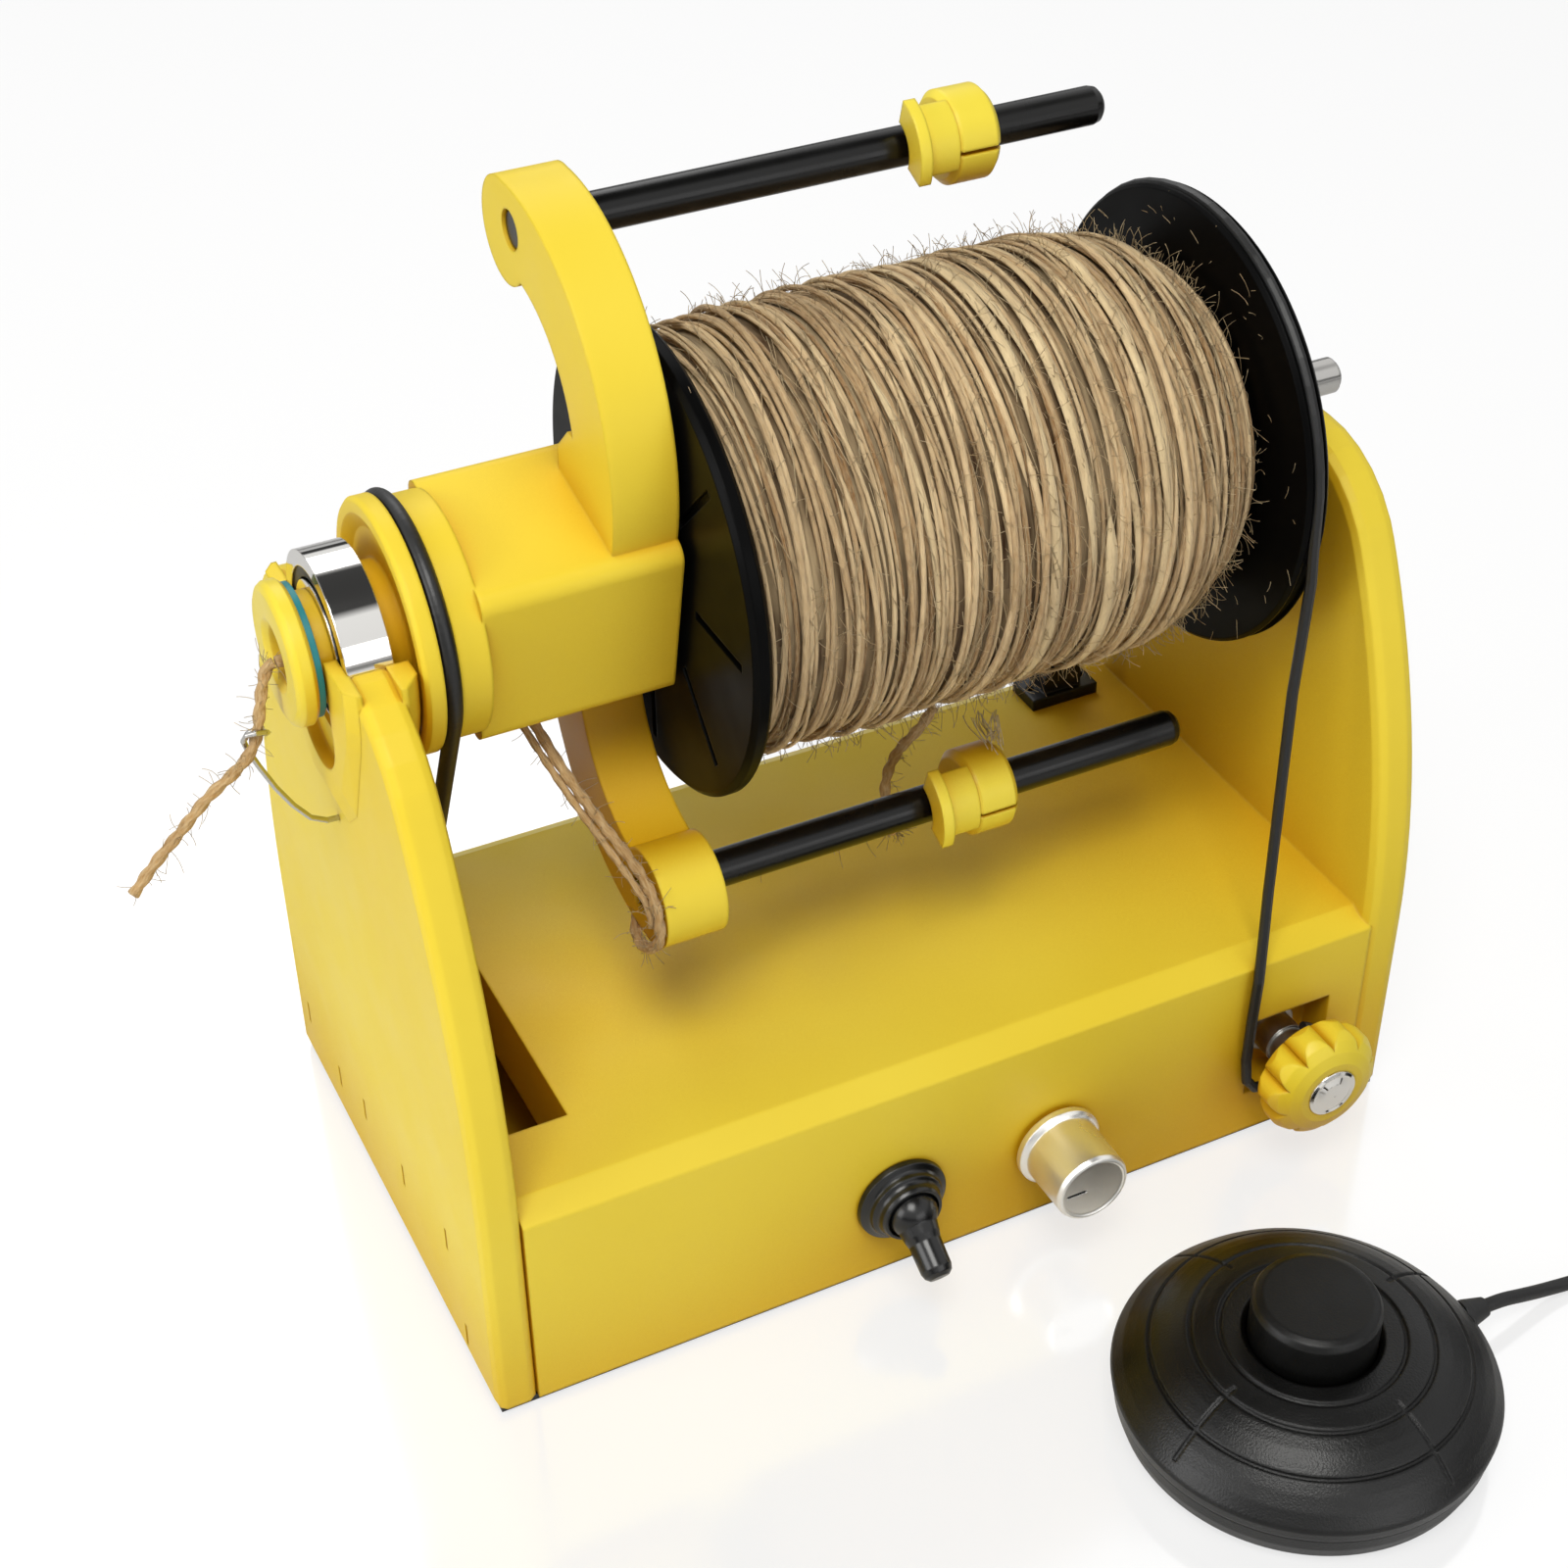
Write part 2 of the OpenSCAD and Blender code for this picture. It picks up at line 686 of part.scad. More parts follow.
// The wound yarn: a slightly swollen drum with tapering shoulders
module yarn_package() color(jute) at_axis() difference() {
  r = package_d/2;
  turn_x() polygon([
    [pack_x0 + fit, core_r + 0.2], [pack_x0 + fit, r - 3.4], [pack_x0 + 6, r - 1.8], [pack_x0 + 20, r - 0.8],
    [pack_x0 + 42, r], [pack_x1 - 48, r + 0.2], [pack_x1 - 28, r - 0.4], [pack_x1 - 14, r - 1.6],
    [pack_x1 - 7, r - 3.6], [pack_x1 - 2.5, r - 8], [pack_x1 - fit, r - 14], [pack_x1 - fit, core_r + 0.2]
  ]);
}

// ---------- drive ----------

// Belt around the flyer pulley and the motor pulley: two arcs, two runs
belt_dy = motor_y;
belt_dz = motor_z - axis_h;
belt_dist = sqrt(belt_dy*belt_dy + belt_dz*belt_dz);
belt_dir = atan2(belt_dz, belt_dy);
belt_open = acos((belt_pitch - motor_pitch)/belt_dist);
belt_run = sqrt(belt_dist*belt_dist - pow(belt_pitch - motor_pitch, 2));

module belt_arc(pitch, a0, a1) {
  rotate([90, 0, 90]) rotate([0, 0, a0]) rotate_extrude(angle = a1 - a0)
    translate([pitch, 0]) circle(r = belt_r, $fn = 32);
}

module drive_belt() color(black) translate([belt_x, 0, 0]) {
  for (s = [-1, 1]) {
    a = belt_dir + s*belt_open;
    translate([0, belt_pitch*cos(a), axis_h + belt_pitch*sin(a)])
      rotate([a - s*90 - 90, 0, 0]) cylinder(r = belt_r, h = belt_run, $fn = 32);
  }
  translate([0, 0, axis_h]) belt_arc(belt_pitch, belt_dir + belt_open, belt_dir - belt_open + 360);
  translate([0, motor_y, motor_z]) belt_arc(motor_pitch, belt_dir - belt_open, belt_dir + belt_open);
}

module motor_pulley() color(black) translate([0, motor_y, motor_z]) difference() {
  turn_x() polygon([
    [belt_x - 3.4, 1.5 + fit], [belt_x - 3.4, motor_pitch + 1.2], [belt_x - 2.6, motor_pitch + 1.6],
    [belt_x + 2.6, motor_pitch + 1.6], [belt_x + 3.4, motor_pitch + 1.2], [belt_x + 3.4, 4], [belt_x + 6, 4],
    [belt_x + 6, 1.5 + fit]
  ]);
  translate([belt_x, 0, 0]) rotate([0, 90, 0]) rotate_extrude() union() {
    translate([motor_pitch, 0]) circle(r = belt_r + run, $fn = 32);
    translate([motor_pitch, -belt_r - run]) square([5, 2*(belt_r + run)]);
  }
}

module motor_shaft() color(steel) translate([0, motor_y, motor_z])
  cyl_x(1.5, belt_x - 3.4, motor_x0 - 0.3);

module motor() color(steel) translate([0, motor_y, motor_z]) {
  cyl_x(motor_r, motor_x0, motor_x0 + motor_l);
  ring_x(1.5 + gap, 4, motor_x0 - 1.6, motor_x0 + eps);
  cyl_x(4.5, motor_x0 + motor_l - eps, motor_x0 + motor_l + 2);
}

// Strap over the motor, screwed up into the ribs
module motor_bracket() color(steel) translate([0, motor_y, motor_z]) difference() {
  union() {
    ring_x(motor_r + fit, motor_r + strap_t, motor_x0 + 8, motor_x0 + 22);
    translate([motor_x0 + 8, -motor_r + 1, motor_r]) cube([14, 2*motor_r - 2, strap_t]);
  }
  cyl_x(motor_r + fit, motor_x0 + 5, motor_x0 + 25);
}

board_x = -8;
board_y = hd - 62;
board_l = 56;
board_w = 36;
board_t = 1.6;
module control_board() color([0.1, 0.35, 0.2]) translate([board_x, board_y, 0]) union() {
  board_z = base_h - shell - 9;
  translate([0, 0, board_z]) cube([board_l, board_w, board_t]);
  for (x = [4, board_l - 4], y = [4, board_w - 4])
    translate([x, y, board_z + board_t - eps]) cylinder(r = 2.5, h = base_h - shell - board_z - board_t - fit);
  translate([12, 10, board_z - 8]) cube([10, 14, 8 + eps]);
  for (x = [32, 42]) translate([x, 18, board_z - 10]) cylinder(r = 4, h = 10 + eps);
}

// ---------- brake ----------

drum_r = 5;
drum_cord = drum_r + brake_r + 0.35;
bush_r = 4.5;
spindle_r = 3;
knob_y0 = panel_y - 7;
knob_t = 10.5;
recess_y = panel_y + recess_t;

anchor_h = 9;
spring_h = 13;
spring_r = 2.6;
spring_turns = 7;
cord_top = base_h + anchor_h + spring_h;
lean_front = 180;

brake_path = concat(
  [for (p = [[0, 0.15], [2, 23], [4.3, 49]]) [brake_x, anchor_y + p[0], cord_top + p[1]]],
  arc_yz(brake_x, [0, axis_h], brake_pitch, lean_back, lean_front, 28),
  [
    [brake_x, -49.4, 146], [brake_x, -50, 139], [brake_x - 1.4, -51.2, 129], [brake_x - 4, -53.6, 115],
    [brake_x - 7, -57.6, 92], [brake_x - 10, -61.6, 70], [brake_x - 12, -64.6, 55], [brake_x - 12.9, -65.9, 49],
    [brake_x - 13.4, -66, 38], [brake_x - 13.6, -66, 26], [brake_x - 12.8, -66, 19.6], [brake_x - 10.4, -66, 16.4],
    [brake_x - 6.6, -66, 15.6]
  ],
  [for (a = [262:14:430]) [tension_x + drum_cord*cos(a), -66, tension_z + drum_cord*sin(a)]]
);

module brake_cord() color(black) tube(brake_path, brake_r, 8);

module brake_spring() color(black) translate([brake_x, anchor_y, base_h + anchor_h]) {
  for (i = [0:spring_turns - 1]) translate([0, 0, 1 + i*(spring_h - 2)/(spring_turns - 1)])
    rotate_extrude($fn = 32) translate([spring_r, 0]) circle(r = 0.75, $fn = 16);
  cylinder(r = spring_r - 0.4, h = spring_h, $fn = 32);
}

module brake_anchor() color(black) translate([brake_x, anchor_y, base_h]) difference() {
  union() {
    translate([-9, -5, 0]) cube([18, 10, 3]);
    rotate([90, 0, 0]) translate([0, 0, -3.5]) linear_extrude(7) {
      translate([-5, 0]) square([10, anchor_h - 2]);
      for (s = [-1, 1]) translate([s*3, anchor_h - 2]) circle(r = 2, $fn = 32);
      translate([-3, anchor_h - 3]) square([6, 3]);
    }
  }
  for (s = [-1, 1]) translate([s*7, 0, -1]) cylinder(r = 1, h = 6, $fn = 24);
}

module tension_bush() color(steel) translate([tension_x, 0, tension_z]) difference() {
  union() {
    cyl_y(bush_r, recess_y - 1.4, recess_y + 10);
    cyl_y(bush_r + 1.8, recess_y - 1.4, recess_y - fit);
    cyl_y(bush_r + 2, recess_y + shell + fit, recess_y + shell + 3);
  }
  cyl_y(spindle_r + run, recess_y - 3, recess_y + 12);
}

module tension_spindle() color(steel) translate([tension_x, 0, tension_z]) union() {
  cyl_y(spindle_r, knob_y0 - knob_t + 3, recess_y + 12);
  cyl_y(spindle_r + 1.2, recess_y + 10.4, recess_y + 12);
  cyl_y(drum_r, panel_y + 0.5, recess_y - 1.4 - gap);
  cyl_y(drum_r - 0.6, panel_y - 5.2, panel_y + 0.6);
  cyl_y(drum_r, knob_y0 + 0.1, panel_y - 5.1);
}

// Scalloped hand knob with a domed front edge
module tension_knob() color(yellow) translate([tension_x, 0, tension_z]) difference() {
  lobe_r = tension_d*0.122;
  translate([0, knob_y0, 0]) intersection() {
    rotate([90, 0, 0]) linear_extrude(knob_t) union() {
      circle(r = tension_d/2 - lobe_r*1.1);
      for (i = [0:lobes - 1])
        rotate(360*i/lobes) translate([tension_d/2 - lobe_r, 0]) circle(r = lobe_r, $fn = 32);
    }
    turn_y() polygon([[0, 0], [tension_d/2 - 2.6, 0], [tension_d/2 - 0.8, 1.2], [tension_d/2, 3],
      [tension_d/2, knob_t - 4.5], [tension_d/2 - 1.2, knob_t - 2.4], [tension_d/2 - 3.4, knob_t - 0.9],
      [tension_d/2 - 6, knob_t], [0, knob_t]]);
  }
  cyl_y(6 + fit, knob_y0 - knob_t - 1, knob_y0 - knob_t + 1.4);
  cyl_y(spindle_r, knob_y0 - knob_t + 3, knob_y0 + 1);
}

module tension_cap() color(steel) translate([tension_x, knob_y0 - knob_t + 1.4, tension_z])
  turn_y() polygon([[0, 0], [6, 0], [6, 1.6], [5.2, 2], [4.6, 1.8], [3, 2.3], [0, 2.6]]);

// ---------- panel controls ----------

toggle_bush_r = 6;
lever_ball_r = 5.6;
ball_seat_r = lever_ball_r + gap;
toggle_rest = 31;
pivot_y = panel_y - 5.2;
lever_l = 15;

module toggle_body() color([0.25, 0.25, 0.27]) translate([toggle_x, 0, control_z]) {
  cyl_y(toggle_bush_r, panel_y + 0.9, panel_y + shell + 4);
  translate([-6.5, panel_y + shell + 4 - eps, -10]) cube([13, 16, 20]);
  for (z = [-6, 0, 6]) translate([-1.5, panel_y + shell + 19.9, z - 0.4]) cube([3, 6, 0.8]);
}

// Hexagon nuts that hold the switch and the potentiometer behind the panel
module panel_nut(x, across, hole) {
  translate([x, 0, control_z]) difference() {
    translate([0, panel_y + shell + 2.6, 0]) rotate([90, 0, 0]) cylinder(r = across, h = 2.5, $fn = 6);
    cyl_y(hole + fit, panel_y - 1, panel_y + shell + 5);
  }
}

module panel_nuts() color(steel) {
  panel_nut(toggle_x, 9, toggle_bush_r);
  panel_nut(speed_x, 5.6, pot_bush_r);
}

// Rubber boot: a flange and two steps around the ball of the lever
module toggle_boot() color(black) translate([toggle_x, 0, control_z]) difference() {
  translate([0, panel_y, 0]) turn_y() polygon([
    [0, 0], [10.2, 0], [10.5, 0.5], [10.3, 1.6], [9, 2.2], [8.6, 2.6], [8.4, 3.6],
    [7.6, 4], [7.3, 4.6], [7.1, 5.6], [6.7, 6.3], [0, 6.3]
  ]);
  cyl_y(ball_seat_r, panel_y - 8, panel_y + 1);
}

module toggle_lever() color(black) translate([toggle_x, pivot_y, control_z]) {
  sphere(r = lever_ball_r, $fn = 64);
  rotate([toggle_rest, 0, 0]) turn_y() polygon([
    [0, 0], [4.4, 3.4], [4, 5.6], [3.6, 7], [3.5, lever_l - 2], [3.1, lever_l - 0.8], [2.2, lever_l],
    [0, lever_l + 0.2]
  ]);
}

pot_bush_r = 3.5;
knob_gap = 0.8;
knob_l = 16.5;

module potentiometer() color([0.3, 0.3, 0.32]) translate([speed_x, 0, control_z]) {
  difference() {
    cyl_y(pot_bush_r, panel_y - knob_gap, panel_y + shell + 3);
    cyl_y(3 + run, panel_y - 2, panel_y + shell + 1.5);
  }
  cyl_y(8, panel_y + shell + 3 - eps, panel_y + shell + 12);
  for (x = [-4, 0, 4]) translate([x - 0.6, panel_y + shell + 5, -13]) cube([1.2, 0.8, 6]);
}

module speed_shaft() color(steel) translate([speed_x, 0, control_z])
  cyl_y(3, panel_y - 10, panel_y + shell + 1.4);

module speed_knob() color(steel) translate([speed_x, panel_y - knob_gap, control_z]) difference() {
  turn_y() polygon([
    [3.6, 0.2], [9.6, 0.2], [10, 0.6], [10, 2], [9.4, 2.6], [8.8, 3], [8.6, knob_l - 1.4],
    [8.2, knob_l - 0.5], [7.6, knob_l - 0.2], [7.2, knob_l - 0.6], [0, knob_l - 0.6],
    [0, 9.3], [3, 9.3], [3, 4], [3.6, 4]
  ]);
  translate([-6.6, -knob_l, -0.35]) cube([5, 1.2, 0.7]);
}

// Dark line let into the face of the speed knob
module knob_pointer() color(black) translate([speed_x, panel_y - knob_gap, control_z])
  translate([-6.2, -knob_l + 0.55, -0.25]) cube([4.2, 0.6, 0.5]);

// ---------- sockets at the back ----------

module power_jack() color(black) translate([jack_x, 0, jack_z]) {
  difference() {
    union() {
      cyl_y(jack_r, hd - shell - 9, hd + 0.6);
      cyl_y(jack_r + 1.8, hd + 0.05, hd + 1.6);
    }
    cyl_y(3.2, hd - 8, hd + 3);
  }
  cyl_y(1, hd - 8.1, hd - 0.5);
}

module pedal_socket() color(black) translate([socket_x, 0, jack_z]) difference() {
  union() {
    cyl_y(socket_r, hd - shell - 11, hd + 0.6);
    cyl_y(socket_r + 1.5, hd + 0.05, hd + 1.6);
  }
  cyl_y(1.8, hd - 15, hd + 3);
}

// ---------- foot pedal ----------

module at_pedal() {
  translate([pedal_x, pedal_y, 0]) children();
}

module turn_z() {
  rotate_extrude() children();
}

well_r = button_d/2 + gap;
dome_y = function(r) seam_z + 3.2 + (pedal_h - seam_z - 3.2)*(1 - pow(max(0, r - well_r - 3)/(pedal_r - well_r - 3), 2.2));
grooves = [0.47, 0.62, 0.82];

module pedal_base() color(black) at_pedal() difference() {
  turn_z() polygon([
    [0, 0.8], [pedal_r - 7, 0.8], [pedal_r - 7, 0], [pedal_r - 3.6, 0], [pedal_r - 2, 2],
    [pedal_r - 1, 5], [pedal_r - 0.6, seam_z - 0.3], [pedal_r - 3.4, seam_z - 0.3], [pedal_r - 4.4, 3.4], [0, 3.4]
  ]);
  for (a = [30, 150, 270]) rotate(a) translate([pedal_r*0.62, 0, -1]) cylinder(r = 1.5 + fit, h = 6);
  gland_cut();
}

module pedal_posts() {
  for (a = [30, 150, 270]) rotate(a) translate([pedal_r*0.62, 0, 3.4 + fit]) difference() {
    cylinder(r = 3, h = pedal_h);
    translate([0, 0, -1]) cylinder(r = 1.5, h = 8);
  }
}

module gland_cut() {
  translate([0, 0, cord_z]) cyl_x(gland_r + fit, pedal_r - 9, pedal_r + 4);
}

cord_z = seam_z - 0.3;
gland_r = 2.9;
gland_bore = cord_r + 0.15;

module pedal_shell() color(black) at_pedal() difference() {
  union() {
    difference() {
      turn_z() polygon(concat(
        [[well_r, pedal_h - 6], [well_r, pedal_h - 1], [well_r + 1, pedal_h]],
        [for (i = [1:10]) let (r = well_r + 3 + (pedal_r - well_r - 3)*i/10) [r - (i == 10 ? 0.3 : 0), dome_y(r)]],
        [[pedal_r, seam_z + 2.4], [pedal_r - 0.4, seam_z], [pedal_r - 3, seam_z]],
        [for (i = [9:-1:1]) let (r = well_r + 3 + (pedal_r - well_r - 3)*i/10) [r - 1.5, dome_y(r) - 2.4]],
        [[well_r + 1.5, pedal_h - 6]]
      ));
      for (g = grooves) translate([0, 0, dome_y(g*pedal_r) - 0.1])
        rotate_extrude() translate([g*pedal_r, 0]) circle(r = 0.55, $fn = 8);
      for (a = [12, 102, 192, 282]) rotate(a) radial_groove();
    }
    intersection() {
      pedal_posts();
      cylinder(r = pedal_r - 3, h = dome_y(pedal_r*0.62) - 1.6);
    }
  }
  gland_cut();
}

// A groove down the dome, made of short straight cuts
module radial_groove() {
  for (i = [0:4]) let (
    r0 = pedal_r*(0.56 + 0.08*i), r1 = r0 + pedal_r*0.08, z0 = dome_y(r0), z1 = dome_y(r1)
  ) translate([r0, 0, z0]) rotate([0, atan2(z0 - z1, r1 - r0), 0])
    translate([0, -0.45, -0.4]) cube([norm([r1 - r0, z1 - z0]), 0.9, 2]);
}

module pedal_screws() color(steel) at_pedal()
  for (a = [30, 150, 270]) rotate(a) translate([pedal_r*0.62, 0, 0.9]) cylinder(r = 1.5, h = 8);

button_skirt = pedal_h - 8;

module pedal_button() color(black) at_pedal() difference() {
  turn_z() polygon([
    [0, pedal_h + button_rise], [button_d/2 - 2, pedal_h + button_rise],
    [button_d/2 - 0.7, pedal_h + button_rise - 0.6], [button_d/2, pedal_h + button_rise - 1.8],
    [button_d/2, button_skirt], [button_d/2 - 2, button_skirt],
    [button_d/2 - 2, pedal_h + button_rise - 3], [0, pedal_h + button_rise - 3]
  ]);
}

// Push switch under the button, with a collar that guides its plunger
module pedal_switch() color([0.2, 0.2, 0.22]) at_pedal() union() {
  translate([-7, -7, 3.4 + fit]) cube([14, 14, pedal_h - 15]);
  translate([0, 0, pedal_h - 12]) cylinder(r = 3, h = button_rise + 9 - 4.4 - button_travel);
}

module pedal_spring() color(steel) at_pedal()
  translate([0, 0, pedal_h - 11.4]) difference() {
    cylinder(r = 5.6, h = button_rise + 8.3);
    translate([0, 0, -1]) cylinder(r = 4.4, h = 40);
  }

module pedal_gland() color(black) at_pedal() translate([0, 0, cord_z]) turn_x() polygon([
  [pedal_r - 6, gland_bore], [pedal_r - 6, gland_r], [pedal_r + 0.1, gland_r], [pedal_r + 0.1, gland_r + 0.5],
  [pedal_r + 1.6, gland_r + 0.3], [pedal_r + 6, gland_bore + 0.5], [pedal_r + 6, gland_bore]
]);

// Cord of the pedal: out of the gland, down to the table and into its coil
coil_x = 156;
coil_y = -122;
coil_mid = 5.5*cord_d;
plug_r = 3.4;
pedal_cord_path = [
  [74, -136, 8.2], [79, -136, 8.2], [84.5, -136, 8.2], [89, -135.8, 7.5], [94, -135.5, 5.9], [99, -135.1, 4.2],
  [104, -134.8, 2.8], [109, -134.8, 1.9], [114, -135.2, 1.7], [120, -136.2, 1.7], [127, -137.8, 1.7],
  [134, -139.8, 1.7], [141, -142, 1.7], [148, -143.7, 1.7], [153, -144.5, 1.7], [156, -144.6, 1.7]
];

module pedal_cord() color(black) tube(pedal_cord_path, cord_r, 8);

module pedal_coil() color(black) translate([coil_x, coil_y, 0.1])
  rotate_extrude($fn = 48) translate([coil_mid - 1.5*cord_d, 0]) square([3*cord_d, 5*cord_d]);

module pedal_plug() color(black) translate([coil_x, coil_y, plug_r + 0.1]) {
  cyl_y(plug_r, -8.5, 8.4);
  cyl_y(1.7, 8.3, coil_mid - 1.5*cord_d - 0.16);
}

// ---------- yarn ----------

yarn_r = 1.1;
lane_a = 305;
lane_r = 11.5;
lane_y = -rod_y + lane_r*cos(lane_a);
lane_z = axis_h - rod_z + lane_r*sin(lane_a);
pick_x = lower_hook_x - finger_l - 2;

yarn_tail_path = [
  [xl - 8.25, 0, axis_h - 1.3], [xl - 9.2, 0, axis_h - 1.6], [xl - 10.6, 0, axis_h - 4.2],
  [xl - 11.8, -0.2, axis_h - 8.5], [xl - 12.8, -0.6, axis_h - 12.5], [xl - 13.8, -0.8, axis_h - 16],
  [xl - 15.6, -1, axis_h - 19.4], [xl - 19, -0.8, axis_h - 22.8], [xl - 25, -0.4, axis_h - 27.4],
  [xl - 31, 0, axis_h - 33.6], [xl - 37, 0, axis_h - 39.4], [xl - 42, 0, axis_h - 45]
];

module yarn_tail() color(jute) tube(yarn_tail_path, yarn_r, 8);

// Through the orifice and the hub, out below it and round the lower arm's tip
yarn_seam = arm_x0 + 5.7;
yarn_hub_path = [
  [xl - 7.85, 0, axis_h - 1.3], [xl - 2, 0, axis_h - 1.3], [brg_x1, 0, axis_h - 1], [flange_x, 0, axis_h - 1],
  [exit_x - 6, 0, axis_h - 1.6], [exit_x - 2, 0.4, axis_h - 5], [exit_x, 1.8, axis_h - 10], [exit_x + 1, 3, axis_h - 16],
  [exit_x + 2.4, 1.6, axis_h - 22], [exit_x + 4.6, -4, axis_h - 28.6], [exit_x + 7.6, -12, axis_h - 37],
  [exit_x + 11.4, -20.6, axis_h - 45], [exit_x + 14.6, -28, axis_h - 51], [arm_x0 - 1.6, -33, axis_h - 54.4],
  [arm_x0 - 1.45, -36, axis_h - 57.6], [arm_x0 - 1.45, -37.2, axis_h - 61.8], [arm_x0 - 1.45, -35.8, axis_h - 66.6],
  [arm_x0 - 1.5, -31.4, axis_h - 71], [arm_x0 - 1.2, -26.2, axis_h - 73.8], [arm_x0 - 0.3, -21.4, axis_h - 74],
  [arm_x0 + 1.6, -18, lane_z - 0.5], [arm_x0 + 4.2, lane_y, lane_z], [yarn_seam - 0.05, lane_y, lane_z]
];

module yarn_hub_run() color(jute) tube(yarn_hub_path, yarn_r, 8);

// Past the arm's tip and along the lower rod, then out beyond the hook's lip
out_y = cos(lane_a);
out_z = sin(lane_a);
yarn_rod_path = concat(
  [for (x = [yarn_seam, arm_x1 + 4, -20, -4, pick_x - 1.5]) [x, lane_y, lane_z]],
  [for (a = [30, 60, 90]) let (d = 1.5 - 1.5*cos(a)) [pick_x - 1.5 + 1.5*sin(a), lane_y + d*out_y, lane_z + d*out_z]],
  [[pick_x, lane_y + 1.9*out_y, lane_z + 1.9*out_z]]
);

module yarn_rod_run() color(jute) tube(yarn_rod_path, yarn_r, 8);

// From the hook round behind its rod and up to the package
around_rod = function(x, r, a) [x, -rod_y + r*cos(a), axis_h - rod_z + r*sin(a)];
yarn_pick_path = [
  around_rod(pick_x, lane_r + 1.95, lane_a), around_rod(pick_x, lane_r + 2.6, lane_a),
  around_rod(pick_x, lane_r + 3.1, lane_a + 5), around_rod(pick_x, lane_r + 2.9, lane_a + 12),
  around_rod(pick_x + 0.2, 13.2, 330), around_rod(pick_x + 0.8, 12.8, 350), around_rod(pick_x + 2, 12.8, 372),
  around_rod(pick_x + 3.6, 13.4, 396), [pick_x + 6.2, -15.2, axis_h - 49.6], [pick_x + 8.2, -17.4, axis_h - 43.6]
];

module yarn_pickup() color(jute) tube(yarn_pick_path, yarn_r, 8);

// ---------- assembly ----------

base_housing();
left_upright();
bottom_plate();
frame_screws();
base_pad();
yarn_guide();
outer_race();
bearing_balls();
bearing_seals();
inner_race();
orifice_nose();
orifice_washer();
flyer();
flyer_shaft();
guide_rods();
upper_hook();
lower_hook();
bobbin_core();
front_flange();
rear_flange();
yarn_package();
drive_belt();
motor_pulley();
motor_shaft();
motor();
motor_bracket();
control_board();
brake_cord();
brake_spring();
brake_anchor();
tension_bush();
tension_spindle();
tension_knob();
tension_cap();
toggle_body();
panel_nuts();
toggle_boot();
toggle_lever();
potentiometer();
speed_shaft();
speed_knob();
knob_pointer();
power_jack();
pedal_socket();
pedal_base();
pedal_shell();
pedal_screws();
pedal_button();
pedal_switch();
pedal_spring();
pedal_gland();
pedal_cord();
pedal_coil();
pedal_plug();
yarn_tail();
yarn_hub_run();
yarn_rod_run();
yarn_pickup();
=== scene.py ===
"""Looks of the electric yarn spinner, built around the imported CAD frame. Metres, +X along the spindle."""

import math
import random

import bpy
import numpy as np
from mathutils import Matrix, Vector


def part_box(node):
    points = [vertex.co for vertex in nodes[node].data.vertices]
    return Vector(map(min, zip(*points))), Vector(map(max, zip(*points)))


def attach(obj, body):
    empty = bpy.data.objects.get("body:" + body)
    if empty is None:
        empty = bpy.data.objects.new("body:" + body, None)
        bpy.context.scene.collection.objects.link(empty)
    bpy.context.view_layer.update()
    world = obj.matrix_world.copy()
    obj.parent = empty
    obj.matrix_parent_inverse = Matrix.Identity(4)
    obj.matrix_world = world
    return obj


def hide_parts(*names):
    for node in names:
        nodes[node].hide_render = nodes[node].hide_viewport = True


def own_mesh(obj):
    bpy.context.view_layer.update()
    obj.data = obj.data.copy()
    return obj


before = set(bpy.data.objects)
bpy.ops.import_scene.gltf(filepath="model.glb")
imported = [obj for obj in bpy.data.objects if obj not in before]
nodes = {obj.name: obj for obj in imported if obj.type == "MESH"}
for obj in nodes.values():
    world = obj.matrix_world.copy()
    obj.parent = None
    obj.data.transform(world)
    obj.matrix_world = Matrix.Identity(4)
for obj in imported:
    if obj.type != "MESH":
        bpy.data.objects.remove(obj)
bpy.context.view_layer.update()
rng = random.Random(7)

MM = 0.001
AXIS_Z = 0.153

# Places read off the CAD, so that a piece sits where its node is
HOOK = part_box("lower_hook")
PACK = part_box("yarn_package")
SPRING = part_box("pedal_spring")
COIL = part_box("pedal_coil")


# ---------- materials ----------


def srgb(r, g, b):
    """A colour written as 0-255 screen values, as linear RGBA."""

    def lin(v):
        v /= 255
        return v / 12.92 if v <= 0.04045 else ((v + 0.055) / 1.055) ** 2.4

    return (lin(r), lin(g), lin(b), 1.0)


